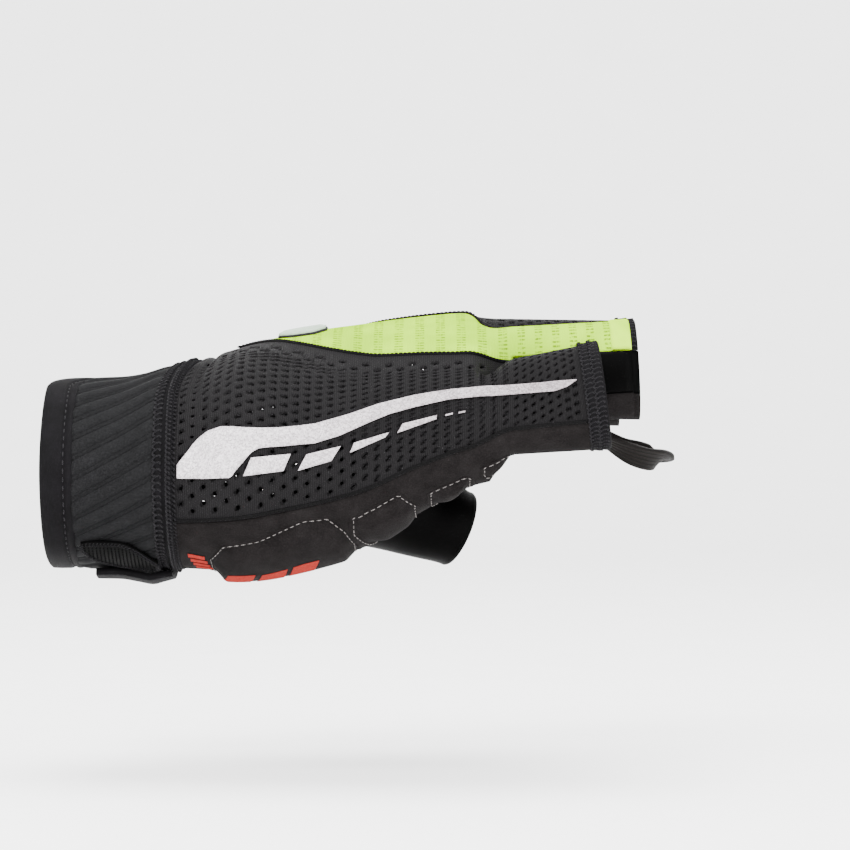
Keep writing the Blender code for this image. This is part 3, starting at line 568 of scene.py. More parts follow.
def neonMaterial(name, look):
    made, tree, shader = startMaterial(name, 0.8, specular=0.0)
    place, along, across = clothPlace(tree)
    inMark = maths(tree, "PINGPONG", along, look["markPitch"] / 2)
    inRow = maths(tree, "PINGPONG", across, look["rowPitch"] / 2)
    column = maths(tree, "MULTIPLY", spread(tree, inMark, 0.95, 1.15, 1.0, 0.0),
                   spread(tree, inMark, 0.04, 0.2))
    mark = maths(tree, "MULTIPLY", column, spread(tree, inRow, 0.22, 0.42, 1.0, 0.0))
    mark = maths(tree, "MULTIPLY", mark, spread(tree, noise(tree, place, 1.3), 0.35, 0.6))
    stitch = maths(tree, "MULTIPLY", ridge(tree, along, 0.7), ridge(tree, across, 0.5))
    height = maths(tree, "MULTIPLY_ADD", stitch, 0.25, maths(tree, "MULTIPLY", mark, -1.0))
    patch = spread(tree, noise(tree, objectMm(tree), 14.0), 0.35, 0.65)
    base = mixed(tree, patch, colour(look["deep"]), colour(look["bright"]))
    base = mixed(tree, maths(tree, "MULTIPLY", mark, 0.75), base, colour(look["mark"]))
    tree.links.new(base, shader.inputs["Emission Color"])
    shader.inputs["Emission Strength"].default_value = look["paintedGlow"]   # painted glow: emission that makes the dye brighter than the lamps light it
    finishMaterial(tree, shader, base, height, look["relief"])
    return made


def napMaterial(name, dark, light, grain=0.35, relief=0.07, roughness=0.85, blots=0.5, paintedGrooveShade=False):
    # what has a short even grain: its size and relief in mm, and how strongly it is blotted
    made, tree, shader = startMaterial(name, roughness, specular=0.02)
    place = objectMm(tree)
    fine = noise(tree, place, grain, 4.0, 0.7)
    patch = noise(tree, place, 6.0, 3.0, 0.6)
    share = spread(tree, maths(tree, "MULTIPLY_ADD", fine, 0.7,
                               maths(tree, "MULTIPLY_ADD", patch, blots, (0.5 - blots) / 2)), 0.35, 0.85)
    if paintedGrooveShade:
        # painted shade: darker in the ribs' grooves, by the attribute's third value, which is how high the
        # ribs stand there
        depth = addNode(tree, "ShaderNodeSeparateXYZ", {0: clothPlace(tree)[0]}).outputs[2]
        share = maths(tree, "MULTIPLY", share, spread(tree, depth, -0.30, 0.30))
    finishMaterial(tree, shader, mixed(tree, share, colour(dark), colour(light)), fine, relief)
    return made


def threadMaterial(name, dark, light):
    # spun polyester: its twist streaks it lighter and darker
    made, tree, shader = startMaterial(name, 0.6, specular=0.04)
    place = objectMm(tree)
    twist = addNode(tree, "ShaderNodeTexWave", {"Vector": place, "Scale": 1.4, "Distortion": 3.0,
                    "Detail": 1.0, "Detail Scale": 2.0}, bands_direction="DIAGONAL").outputs[1]
    share = spread(tree, maths(tree, "MULTIPLY_ADD", noise(tree, place, 0.5), 0.6, twist), 0.2, 1.2)
    finishMaterial(tree, shader, mixed(tree, share, colour(dark), colour(light)), twist, 0.05)
    return made


def filmMaterial(name):
    # reflective film pressed on: glass beads in a grey binder, with a fine silver speckle that is partly the
    # beads' grain and partly painted glints, and painted shade that makes it duller towards the fingers,
    # where it turns away from the light
    made, tree, shader = startMaterial(name, 0.55, specular=0.3)
    place = objectMm(tree)
    # painted glints: the beads' cells give a lighter speckle in the colour as well as the relief
    beads = addNode(tree, "ShaderNodeTexVoronoi", {"Vector": place, "Scale": 3.2}).outputs["Color"]
    bead = addNode(tree, "ShaderNodeSeparateColor", {0: beads}).outputs[0]
    share = spread(tree, maths(tree, "MULTIPLY_ADD", noise(tree, place, 2.5), 0.5, bead), 0.1, 1.4)
    # painted shade: darker from 45 mm to 115 mm along the glove, towards the fingers
    far = spread(tree, addNode(tree, "ShaderNodeSeparateXYZ", {0: place}).outputs[0], 45.0, 115.0)
    nearTone = mixed(tree, share, colour("#7E787B"), colour("#DAD3D6"))
    paintedShadeTone = mixed(tree, share, colour("#564F51"), colour("#A0979A"))
    finishMaterial(tree, shader, mixed(tree, far, nearTone, paintedShadeTone), bead, 0.03)
    return made


def wovenMaterial(name, dark, light, rib=0.9, pick=0.42, relief=0.16):
    # woven polyester tape: ribs in mm that shine a little, painted as a lighter colour on their raised tops,
    # with a chevron of picks on each
    made, tree, shader = startMaterial(name, 0.6, specular=0.06)
    _, along, across = clothPlace(tree)
    lean = maths(tree, "PINGPONG", across, rib)
    chevron = ridge(tree, maths(tree, "MULTIPLY_ADD", lean, 0.8, along), pick)
    height = maths(tree, "MULTIPLY", ridge(tree, across, rib), maths(tree, "MULTIPLY_ADD", chevron, 0.6, 0.4))
    # painted highlight: lighter where the ribs and picks stand highest
    share = maths(tree, "MULTIPLY_ADD", noise(tree, objectMm(tree), 0.4), 0.3,
                  maths(tree, "MULTIPLY", height, 0.7))
    finishMaterial(tree, shader, mixed(tree, share, colour(dark), colour(light)), height, relief)
    return made


def printMaterial(name, dark, light):
    # screen print on suede: chalky red, with no shine, worn lighter in specks
    made, tree, shader = startMaterial(name, 0.9, specular=0.0)
    place = objectMm(tree)
    worn = spread(tree, noise(tree, place, 0.5, 4.0, 0.7), 0.3, 0.7)
    finishMaterial(tree, shader, mixed(tree, worn, colour(dark), colour(light)),
                   noise(tree, place, 0.35, 3.0, 0.6), 0.05)
    return made


knitBlack = knitMaterial("knitMeshBlack", knitLook)
knitNeon = neonMaterial("knitNeonYellow", neonLook)
# the turned hem shows the cloth's paler inside, with no marks
hemNeon = neonMaterial("hemNeonYellow", {**neonLook, "mark": "#84B000", "bright": "#A8D418"})
# microfibre suede: short nap, no shine, blotted a warm brown-black where it is brushed
suede = napMaterial("suedeBlack", "#050404", "#1C1A1A", grain=0.4, relief=0.14)
# neoprene faced with jersey and pressed into ribs: an even dark grey, with painted shade that turns the
# grooves black
neoprene = napMaterial("neopreneBlack", "#000000", "#1F1F20", grain=0.4, relief=0.08, roughness=0.7,
                       blots=0.12, paintedGrooveShade=True)
# bonded jersey: smooth and almost even
bindingCloth = napMaterial("bindingBlack", "#070707", "#121113", grain=0.3, relief=0.05, roughness=0.7)
# stretch jersey, fine and tight: the deepest black of all
lycra = napMaterial("lycraBlack", "#000000", "#020202", grain=0.22, relief=0.02, roughness=0.5)
# moulded nylon hook tape: black, and a little shinier than cloth
hookTape = napMaterial("hookTapeBlack", "#010101", "#0A0A0A", grain=0.3, relief=0.05, roughness=0.5)
# moulded silicone: a pale green-grey, even and matt
rubber = napMaterial("rubberGrey", "#7C8A7C", "#A3B2A0", grain=0.6, relief=0.01, roughness=0.4)
threadBlack = threadMaterial("threadBlack", "#040404", "#201F21")
threadDark = threadMaterial("threadDarkGrey", "#080808", "#2C2B2D")
threadGrey = threadMaterial("threadGrey", "#2E2C2C", "#7A7674")
wovenTape = wovenMaterial("wovenTapeBlack", "#020202", "#14110F")
film = filmMaterial("reflectiveFilm")
printRed = printMaterial("printRed", "#6E1A16", "#8E342E")
print("materials ready")

# node trees for what repeats


def startTree(name, inputs):
    tree = bpy.data.node_groups.new(name, "GeometryNodeTree")
    tree.interface.new_socket("Geometry", in_out="INPUT", socket_type="NodeSocketGeometry")
    for label, kind, value in inputs:
        socket = tree.interface.new_socket(label, in_out="INPUT", socket_type="NodeSocket" + kind)
        if value is not None:
            socket.default_value = value
    tree.interface.new_socket("Geometry", in_out="OUTPUT", socket_type="NodeSocketGeometry")
    start = tree.nodes.new("NodeGroupInput")
    return tree, {socket.name: socket for socket in start.outputs if socket.name}


def endTree(tree, geometry, finish):
    real = addNode(tree, "GeometryNodeRealizeInstances", {"Geometry": geometry})
    painted = addNode(tree, "GeometryNodeSetMaterial", {"Geometry": real.outputs[0], "Material": finish})
    addNode(tree, "NodeGroupOutput", {0: painted.outputs[0]})
    return tree


def namedVector(tree, name):
    reader = addNode(tree, "GeometryNodeInputNamedAttribute", {"Name": name}, data_type="FLOAT_VECTOR")
    return reader.outputs[0]


def vectors(tree, operation, first, second=None, scale=None):
    inputs = {0: first}
    if second is not None:
        inputs[1] = second
    if scale is not None:
        inputs["Scale"] = scale
    node = addNode(tree, "ShaderNodeVectorMath", inputs, operation=operation)
    return node.outputs["Value" if operation in ("DOT_PRODUCT", "LENGTH") else "Vector"]


def knitHoleTree():
    # opens a slanted hole in each face whose "hole" attribute is set
    tree, ask = startTree("knitHoles", (("Hole Along", "Float", 0.8), ("Hole Across", "Float", 0.45),
                                        ("Slant", "Float", 0.4), ("Finish", "Material", None)))
    position = addNode(tree, "GeometryNodeInputPosition").outputs[0]
    normal = addNode(tree, "GeometryNodeInputNormal").outputs[0]
    cloth, along = namedVector(tree, "clothMm"), namedVector(tree, "along")
    caught = addNode(tree, "GeometryNodeCaptureAttribute", {"Geometry": ask["Geometry"]}, domain="FACE")
    for label, source in (("Centre", position), ("Facing", normal), ("Cloth", cloth), ("Along", along)):
        caught.capture_items.new("VECTOR", label)
        tree.links.new(source, caught.inputs[label])
    hole = addNode(tree, "GeometryNodeInputNamedAttribute", {"Name": "hole"}, data_type="BOOLEAN").outputs[0]
    cut = addNode(tree, "GeometryNodeExtrudeMesh", {"Mesh": caught.outputs["Geometry"], "Selection": hole,
                  "Offset Scale": 0.0, "Individual": True}, mode="FACES")
    centre = caught.outputs["Centre"]
    away = vectors(tree, "SUBTRACT", position, centre)
    reach = vectors(tree, "DOT_PRODUCT", away, caught.outputs["Along"])
    longer = maths(tree, "MULTIPLY", reach, maths(tree, "SUBTRACT", ask["Hole Along"], ask["Hole Across"]))
    small = vectors(tree, "ADD", vectors(tree, "SCALE", away, scale=ask["Hole Across"]),
                    vectors(tree, "SCALE", caught.outputs["Along"], scale=longer))
    turned = addNode(tree, "ShaderNodeVectorRotate", {"Vector": small, "Axis": caught.outputs["Facing"],
                     "Angle": ask["Slant"]}, rotation_type="AXIS_ANGLE").outputs[0]
    moved = addNode(tree, "GeometryNodeSetPosition", {"Geometry": cut.outputs["Mesh"],
                    "Selection": cut.outputs["Top"], "Position": vectors(tree, "ADD", centre, turned)})
    nearCloth = vectors(tree, "ADD", caught.outputs["Cloth"], vectors(
        tree, "SCALE", vectors(tree, "SUBTRACT", cloth, caught.outputs["Cloth"]), scale=ask["Hole Across"]))
    stored = addNode(tree, "GeometryNodeStoreNamedAttribute", {"Geometry": moved.outputs[0],
                     "Selection": cut.outputs["Top"], "Name": "clothMm", "Value": nearCloth},
                     data_type="FLOAT_VECTOR", domain="POINT")
    opened = addNode(tree, "GeometryNodeDeleteGeometry", {"Geometry": stored.outputs[0],
                     "Selection": cut.outputs["Top"]}, domain="FACE")
    rounded = addNode(tree, "GeometryNodeSubdivisionSurface", {"Mesh": opened.outputs[0], "Level": 1})
    return endTree(tree, rounded.outputs[0], ask["Finish"])


def alongPathTree(name, makeShape, inputs):
    # sets a small shape at even steps along a path, its X along the path and its Z along "up"
    tree, ask = startTree(name, (("Spacing", "Float", 0.002),) + inputs + (("Finish", "Material", None),))
    curve = addNode(tree, "GeometryNodeMeshToCurve", {"Mesh": ask["Geometry"]})
    even = addNode(tree, "GeometryNodeResampleCurve", {"Curve": curve.outputs[0], "Length": ask["Spacing"]},
                   mode="LENGTH")
    tangent = addNode(tree, "GeometryNodeInputTangent").outputs[0]
    facing = addNode(tree, "FunctionNodeAlignRotationToVector", {"Vector": tangent}, axis="X")
    upright = addNode(tree, "FunctionNodeAlignRotationToVector", {"Rotation": facing.outputs[0],
                      "Vector": namedVector(tree, "up")}, axis="Z", pivot_axis="X")
    soft = addNode(tree, "GeometryNodeSetShadeSmooth", {"Geometry": makeShape(tree, ask)})
    copies = addNode(tree, "GeometryNodeInstanceOnPoints", {"Points": even.outputs[0],
                     "Instance": soft.outputs[0], "Rotation": upright.outputs[0]})
    return endTree(tree, copies.outputs[0], ask["Finish"])


def stitchShape(tree, ask):
    # a plain stitch: a low bead, longer than it is wide
    bead = addNode(tree, "GeometryNodeMeshUVSphere", {"Segments": 8, "Rings": 5, "Radius": 0.5}).outputs[0]
    size = addNode(tree, "ShaderNodeCombineXYZ", {0: ask["Stitch"], 1: ask["Thread"], 2: ask["Thread"]})
    return addNode(tree, "GeometryNodeTransform", {"Geometry": bead, "Scale": size.outputs[0]}).outputs[0]


def thickened(tree, curve, sides, radius):
    profile = addNode(tree, "GeometryNodeCurvePrimitiveCircle", {"Resolution": sides, "Radius": radius})
    return addNode(tree, "GeometryNodeCurveToMesh", {"Curve": curve.outputs[0], "Profile Curve":
                   profile.outputs[0], "Fill Caps": True}).outputs[0]


def loopShape(tree, ask):
    # an overlock loop: a thread bent into a C that lies across the path
    arc = addNode(tree, "GeometryNodeCurveArc", {"Resolution": 9, "Radius": 1.0, "Start Angle": -1.9,
                  "Sweep Angle": 4.4})
    size = addNode(tree, "ShaderNodeCombineXYZ", {0: ask["Long"], 1: ask["Wide"], 2: 1.0})
    bent = addNode(tree, "GeometryNodeTransform", {"Geometry": arc.outputs[0], "Scale": size.outputs[0],
                   "Rotation": (0.0, 0.25, 0.5)})
    return thickened(tree, bent, 6, ask["Thread"])


def hookShape(tree, ask):
    # a stiff hook: a small bent stalk that stands on the tape
    arc = addNode(tree, "GeometryNodeCurveArc", {"Resolution": 5, "Radius": ask["Long"], "Start Angle": -0.3,
                  "Sweep Angle": 3.6})
    stood = addNode(tree, "GeometryNodeTransform", {"Geometry": arc.outputs[0],
                                                    "Rotation": (pi / 2, 0.0, 0.0)})
    return thickened(tree, stood, 5, ask["Thread"])


knitHoles = knitHoleTree()
stitchRow = alongPathTree("stitchRow", stitchShape, (("Stitch", "Float", 0.0014),
                                                     ("Thread", "Float", 0.0004)))
loopRow = alongPathTree("loopRow", loopShape, (("Long", "Float", 0.0007), ("Wide", "Float", 0.0008),
                                               ("Thread", "Float", 0.0002)))
hookRow = alongPathTree("hookRow", hookShape, (("Long", "Float", 0.0003), ("Thread", "Float", 0.0001)))


def threadPiece(name, lines, tree, sizes, finish, slotName):
    # stitches, loops or hooks along lines; each line is (closed, list of (point, up))
    points, ups, edges = [], [], []
    for closed, line in lines:
        first = len(points)
        for point, up in line:
            points.append(point)
            ups.append(up)
        edges += [(first + i, first + i + 1) for i in range(len(line) - 1)]
        if closed:
            edges.append((len(points) - 1, first))
    piece = newPiece(name, points, [], None, edges)
    setAttribute(piece, "up", "FLOAT_VECTOR", "POINT", [value for up in ups for value in up])
    useTree(piece, tree, {**sizes, "Finish": finish})
    keep(piece, slotName)


def tubePiece(name, line, radius, finish, sides=8, flat=1.0, closed=False):
    # a rolled edge: a round or flattened tube along a list of (point, up)
    rings = []
    for index, (point, up) in enumerate(line):
        before = line[index - 1][0] if index or closed else point
        after = line[(index + 1) % len(line)][0] if index < len(line) - 1 or closed else point
        run = (after - before).normalized()
        side = run.cross(up).normalized()
        rise = side.cross(run).normalized()
        rings.append([point + side * cos(2 * pi * s / sides) * radius
                      + rise * sin(2 * pi * s / sides) * radius * flat for s in range(sides)])
    return bandPiece(name, rings, finish, closed)


print("node trees ready")

# cuff
binding = {"width": 0.0082, "height": 0.0029, "steps": 160, "wave": 0.00016, "stitchPlace": 0.0058,
           "stitchLift": 0.33, "stitches": {"Spacing": 0.0021, "Stitch": 0.0014, "Thread": 0.00036}}


def rimX(angle):
    # how far the cuff's edge dips towards the hand
    off = abs((angle - hand["notchCentre"] + 180.0) % 360.0 - 180.0) / hand["notchReach"]
    return hand["notchDepth"] * (1.0 + cos(pi * off)) / 2 if off < 1.0 else 0.0


def bindingOutline(width, height):
    # folded edge, flat face, stitched groove and the narrow turned edge beside it
    half = height / 2
    upper = ((0.00, 0.0), (0.02, 0.62), (0.08, 0.94), (0.30, 1.0), (0.60, 0.98), (0.66, 0.90),
             (0.705, 0.62), (0.75, 0.60), (0.80, 0.86), (0.86, 0.98), (0.95, 0.92), (1.00, 0.55))
    lower = ((1.00, -0.6), (0.94, -1.0), (0.50, -1.0), (0.08, -0.94), (0.02, -0.62))
    return [(place * width, share * half) for place, share in upper + lower]


def makeBinding():
    rings, stitchLine = [], []
    outline = bindingOutline(binding["width"], binding["height"])
    for step in range(binding["steps"]):
        angle = -90.0 + 360.0 * step / binding["steps"]
        rim = rimX(angle)
        wave = binding["wave"] * sin(radians(angle) * 7 + 1.0)
        rings.append([handPoint(rim + across, angle) + handNormal(rim + across, angle) * (height + wave)
                      for across, height in outline])
        x = rim + binding["stitchPlace"]
        up = handNormal(x, angle)
        lift = binding["height"] * binding["stitchLift"] + wave
        stitchLine.append((handPoint(x, angle) + up * lift, up))
    keep(bandPiece("cuffBinding", rings, bindingCloth), "binding_black", "cuff_binding")
    threadPiece("cuffBindingStitches", [(True, stitchLine)], stitchRow, binding["stitches"], threadDark,
                "overlock_thread_black")


sleeve = {"ribs": 30, "height": 0.0012, "slant": 31.0, "wall": 0.0018, "steps": 30,
          "tuck": 0.0004, "endGap": 0.0046, "lift": 0.0002, "endHeight": 0.35, "endShare": 1 / 9,
          # across one rib: a broad flat, a sharp groove, a narrow strip and a second groove
          "profile": ((0.00, -0.95), (0.045, -0.30), (0.09, 0.26), (0.20, 0.46), (0.40, 0.48), (0.55, 0.38),
                      (0.635, 0.12), (0.68, -0.30), (0.715, -0.90), (0.75, -0.30), (0.80, 0.15), (0.86, 0.24),
                      (0.92, 0.12), (0.96, -0.30))}


def makeSleeve():
    startGap = binding["width"] - sleeve["tuck"]
    end = hand["cuffLength"] - sleeve["endGap"]
    turn = degrees(tan(radians(sleeve["slant"])) / ((hand["wristBreadth"] + hand["wristDepth"]) / 4))
    lines = [(360.0 * (rib + place) / sleeve["ribs"], height)
             for rib in range(sleeve["ribs"]) for place, height in sleeve["profile"]]
    grid, clothMm = [], []
    for step in range(sleeve["steps"] + 1):
        share = step / sleeve["steps"]
        row, cloth = [], []
        for base, height in lines:
            start = startGap
            for _ in range(6):    # settles where the slanting rib meets the dipping edge
                start = startGap + rimX(base + turn * start)
            x = lerp(start, end, share)
            angle = base + turn * x
            fade = lerp(sleeve["endHeight"], 1.0, smooth(min(share, 1.0 - share) / sleeve["endShare"]))
            lift = height * sleeve["height"] * fade + sleeve["lift"]
            row.append(handPoint(x, angle) + handNormal(x, angle) * lift)
            cloth.append((x * 1000, base, height))
        grid.append(row)
        clothMm.append(cloth)
    clothPiece("cuffSleeve", grid, neoprene, sleeve["wall"], "neoprene_black", "cuff_sleeve",
               closed=True, clothMm=clothMm)


# each row of loops lies at a share of the band's width and of half its wall
seamBand = {"width": 0.0056, "wall": 0.0030, "steps": 150, "overlap": 0.0002, "rows": (
    ("cuffSeamLoops", 0.32, 0.85, {"Spacing": 0.00165, "Long": 0.00075, "Wide": 0.00115, "Thread": 0.00027}),
    ("cuffSeamRope", 0.82, 1.0, {"Spacing": 0.0012, "Long": 0.0006, "Wide": 0.00055, "Thread": 0.00027}),
    ("cuffSeamEdge", 0.99, 0.45, {"Spacing": 0.0013, "Long": 0.00055, "Wide": 0.0005, "Thread": 0.00027}))}


def makeCuffSeam():
    rings = []
    start = hand["cuffLength"] - seamBand["width"] + seamBand["overlap"]
    half = seamBand["wall"] / 2
    outline = ((0.0, -0.5), (0.03, 0.35), (0.14, 0.66), (0.34, 0.78), (0.52, 0.62), (0.60, 0.52),
               (0.70, 0.80), (0.82, 0.98), (0.93, 0.74), (1.0, 0.1), (1.0, -0.5), (0.9, -1.0), (0.1, -1.0))
    lines = [[] for _ in seamBand["rows"]]
    for step in range(seamBand["steps"]):
        angle = -90.0 + 360.0 * step / seamBand["steps"]
        up = handNormal(start, angle)
        rings.append([handPoint(start + across * seamBand["width"], angle) + up * height * half
                      for across, height in outline])
        for line, (_, across, lift, _) in zip(lines, seamBand["rows"]):
            x = start + across * seamBand["width"]
            line.append((handPoint(x, angle) + up * half * lift, up))
    keep(bandPiece("cuffSeam", rings, bindingCloth), "overlock_thread_black", "cuff_seam")
    for line, (name, _, _, sizes) in zip(lines, seamBand["rows"]):
        threadPiece(name, [(True, line)], loopRow, sizes, threadBlack, "overlock_thread_black")


makeBinding()
makeSleeve()
makeCuffSeam()
print("cuff ready")

# knit back
# gathers beside the cuff's seam: how far past it, width and height of each
folds = {"ridges": ((0.0026, 0.0010, 0.00075), (0.0050, 0.0008, -0.0006), (0.0074, 0.0012, 0.0005)),
         "rise": (24.0, 64.0), "fall": (150.0, 120.0), "wave": 0.0006, "waves": 5.0}


def foldLift(past, angle):
    inside = ramp(angle, *folds["rise"]) * ramp(angle, *folds["fall"])
    wave = folds["wave"] * sin(radians(angle) * folds["waves"])
    return inside * sum(height * exp(-((past - place - wave) / width) ** 2)
                        for place, width, height in folds["ridges"])


# cells in mm, and a hole's size as shares of its cell
knit = {"cellLong": 1.4, "cellWide": 1.3, "wall": 0.0007,
        "holes": {"Hole Along": 1.32, "Hole Across": 0.66, "Slant": 0.52}}
seamX = hand["cuffLength"] - seamBand["overlap"]    # where the panels are sewn to the cuff
centreTip = stationX(1.17)    # where the yellow panel's two edges part


def panelGrid(panel, cells, cellLong, firstX, hemmed):
    # a fine grid over a panel; cells are counted between each pair of columns
    places = []
    for index, count in enumerate(cells):
        places += [index + step / count for step in range(count)]
    places.append(float(len(cells)))
    handRows = max(2, round((crotchX - firstX) * 1000 / cellLong))
    rows = [lerp(firstX, crotchX, step / handRows) for step in range(handRows + 1)]
    grid = [[panel.point(place, x) for place in places] for x in rows]

    def fingerAt(place):
        left = min(int(place), len(panel.columns) - 2)
        a, b = panel.columns[left], panel.columns[left + 1]
        part = place - left
        if a.finger == b.finger:
            return a.finger, lerp(a.angle, b.angle, part)
        if part == 0.0 and not isinstance(a.finger, tuple):
            return a.finger, a.angle
        if part >= 1.0 and not isinstance(b.finger, tuple):
            return b.finger, b.angle
        return None, 0.0

    longest = max(stalls[column.finger].length for column in panel.columns
                  if not isinstance(column.finger, tuple)) * hand["stallLength"]
    stallRows = max(2, round(longest * 1000 / cellLong))
    for step in range(1, stallRows + 1):
        line = []
        for place in places:
            finger, angle = fingerAt(place)
            if finger is None:
                line.append(None)
                continue
            end = hemX(finger, angle) - (hand["hemGap"] if finger in hemmed else 0.0)
            line.append(stallPoint(finger, lerp(crotchX, end, step / stallRows), angle))
        grid.append(line)

    def isOpen(row, column):
        # past the crotches there is no cloth from one stall to the next
        if row < handRows:
            return False
        left = min(int(places[column] + 1e-6), len(panel.columns) - 2)
        return panel.columns[left].finger != panel.columns[left + 1].finger

    return grid, places, handRows, isOpen


def gatherCloth(panel, grid, places, handRows):
    for r in range(handRows // 3):
        x = lerp(seamX, crotchX, r / handRows)
        for c, place in enumerate(places):
            share = panel.share(min(place, len(panel.columns) - 1.001))
            angle = lerp(panel.firstSeam(x), panel.lastSeam(x), share)
            grid[r][c] = grid[r][c] + handNormal(x, angle) * foldLift(x - hand["cuffLength"], angle)


def knitPiece(name, panel, cells, hemmed, finish, slotName, node, tip=None):
    # tip is where a panel without holes starts in a point, and how far its end is cut off
    firstX = tip[0] if tip else seamX
    grid, places, handRows, isOpen = panelGrid(panel, cells, knit["cellLong"], firstX, hemmed)
    if tip:
        grid[0] = [here.lerp(there, tip[1]) for here, there in zip(grid[0], grid[1])]
    else:
        gatherCloth(panel, grid, places, handRows)
    clothMm = [[(r * knit["cellLong"], c * knit["cellWide"], 0.0) for c in range(len(places))]
               for r in range(len(grid))]
    piece, made = gridPiece(name, grid, finish, clothMm=clothMm, isOpen=isOpen)
    isHole, along = [], []
    for r, c in made:
        inside = 1 <= r < len(grid) - 3 and 1 <= c < len(places) - 3
        inside = inside and not isOpen(r + 1, c) and not isOpen(r, c + 1)
        isHole.append(not tip and inside and r % 2 == 1 and (c + r // 2) % 2 == 0)
        along += list((grid[r + 1][c] - grid[r][c]).normalized())
    setAttribute(piece, "hole", "BOOLEAN", "FACE", isHole)
    setAttribute(piece, "along", "FLOAT_VECTOR", "FACE", along)
    useTree(piece, knitHoles, {**knit["holes"], "Finish": finish})
    piece.data.shade_smooth()
    giveWall(piece, knit["wall"])
    keep(piece, slotName, node)


knitPiece("backMeshOuter", outerPanel, (5,) * 7 + (4,), {"little"}, knitBlack, "knit_mesh_black",
          "back_mesh_outer")
knitPiece("backMeshInner", innerPanel, (3, 4, 4, 4, 4, 4, 3) + (4,) * 7, {"middle", "index"}, knitBlack,
          "knit_mesh_black", "back_mesh_inner")
knitPiece("backCentrePanel", centrePanel, (3, 5, 5, 5, 5, 5, 3), {"ring"}, knitNeon, "knit_neon_yellow",
          "back_centre_panel", tip=(centreTip, 0.2))
print("back ready")

# palm
palm = {"cell": 1.5, "wall": 0.0014, "cellsOnStall": 4, "cellsBetween": 3}    # the cell is in mm


def makePalm():
    cells = [palm["cellsOnStall" if left.finger == right.finger else "cellsBetween"]
             for left, right in zip(palmPanel.columns, palmPanel.columns[1:])]
    grid, _, _, isOpen = panelGrid(palmPanel, cells, palm["cell"], seamX, {"little"})
    clothPiece("palmPanel", grid, suede, palm["wall"], "suede_black", "palm_panel", flip=True, isOpen=isOpen)


makePalm()

PadRow = namedtuple("PadRow", "station near far")
# a pad's rows are the corners of its stitched outline: degrees below the little finger's side
padRows = {
    "pad_heel": (
        PadRow(1.088, 64, 84), PadRow(1.144, 46, 104), PadRow(1.249, 44, 112), PadRow(1.312, 40, 114),
        PadRow(1.380, 36, 114), PadRow(1.457, 38, 112), PadRow(1.503, 50, 106), PadRow(1.545, 76, 97)),
    "pad_middle": (
        PadRow(1.516, 43, 50), PadRow(1.547, 43, 66), PadRow(1.571, 41, 80), PadRow(1.587, 41, 90),
        PadRow(1.630, 40, 98), PadRow(1.662, 40, 100), PadRow(1.722, 66, 95)),
    "pad_upper": (
        PadRow(1.741, 55, 72), PadRow(1.772, 55, 92), PadRow(1.820, 57, 97), PadRow(1.850, 56, 95),
        PadRow(1.885, 62, 84)),
    "pad_knuckle": (
        PadRow(1.900, 52, 66), PadRow(1.925, 48, 72), PadRow(1.965, 47, 72), PadRow(2.000, 50, 64)),
}
# how high each is filled, the share left at its end by the fingers, and how evenly it faces one way
Filling = namedtuple("Filling", "wall endShare steady")
fillings = {"pad_heel": Filling(0.0026, 0.62, 0.0), "pad_middle": Filling(0.0012, 1.0, 0.2),
            "pad_upper": Filling(0.0011, 1.0, 0.3), "pad_knuckle": Filling(0.0007, 0.5, 0.4)}
pads = {"base": 0.0009, "margin": 0.0012, "ramp": 0.0038, "crease": 0.00035, "creaseWidth": 0.0008,
        "border": 0.0004, "sink": 0.0003, "dome": 0.25, "cellLong": 0.0006, "cellWide": 0.0007,
        "fewestLong": 14, "fewestWide": 12, "taperStart": 0.375,
        "stitchLift": 0.00015, "stitches": {"Spacing": 0.0018, "Stitch": 0.0013, "Thread": 0.00024}}


def between(rows, column, at):
    # straight from row to row, which keeps the outline's corners
    places = [row.station for row in rows]
    i = min(max(bisect_right(places, at) - 1, 0), len(rows) - 2)
    share = (at - places[i]) / (places[i + 1] - places[i])
    return lerp(getattr(rows[i], column), getattr(rows[i + 1], column), min(max(share, 0.0), 1.0))


def padPlace(rows, s, t):
    # s runs along a pad and t across it
    station = lerp(rows[0].station, rows[-1].station, s)
    angle = lerp(between(rows, "near", station), between(rows, "far", station), t)
    x = stationX(station)
    return palmPanel.at(x, -angle), palmPanel.normalAt(x, -angle)


class PadFace:
    # the outer face of a pad: flush at its border, creased at the stitches, then filled
    def __init__(self, node):
        self.rows, self.filling = padRows[node], fillings[node]
        outline = [(row.station, row.near) for row in self.rows]
        outline += [(row.station, row.far) for row in reversed(self.rows)]
        self.outline = [palmPanel.at(stationX(station), -angle) for station, angle in outline]
        normals = [padPlace(self.rows, s / 4, t / 4)[1] for s in range(5) for t in range(5)]
        self.facing = sum(normals, Vector()).normalized()

    def edgeDistance(self, place):
        nearest = 1.0
        for a, b in zip(self.outline, self.outline[1:] + self.outline[:1]):
            run = b - a
            share = min(max((place - a).dot(run) / max(run.length_squared, 1e-12), 0.0), 1.0)
            nearest = min(nearest, (place - a - run * share).length)
        return nearest

    def at(self, s, t):
        place, normal = padPlace(self.rows, s, t)
        inside = self.edgeDistance(place)
        filled = smooth((inside - pads["margin"]) / pads["ramp"])
        dome = 1.0 - pads["dome"] * abs(2.0 * t - 1.0) ** 4
        crease = pads["crease"] * max(0.0, 1.0 - abs(inside - pads["margin"]) / pads["creaseWidth"])
        wall = self.filling.wall * lerp(1.0, self.filling.endShare, ramp(s, pads["taperStart"], 1.0))
        height = pads["base"] + wall * filled * dome - crease - max(0.0, pads["border"] - inside) / 2
        out = normal.lerp(self.facing, self.filling.steady * filled).normalized()
        return place + out * height, place, normal


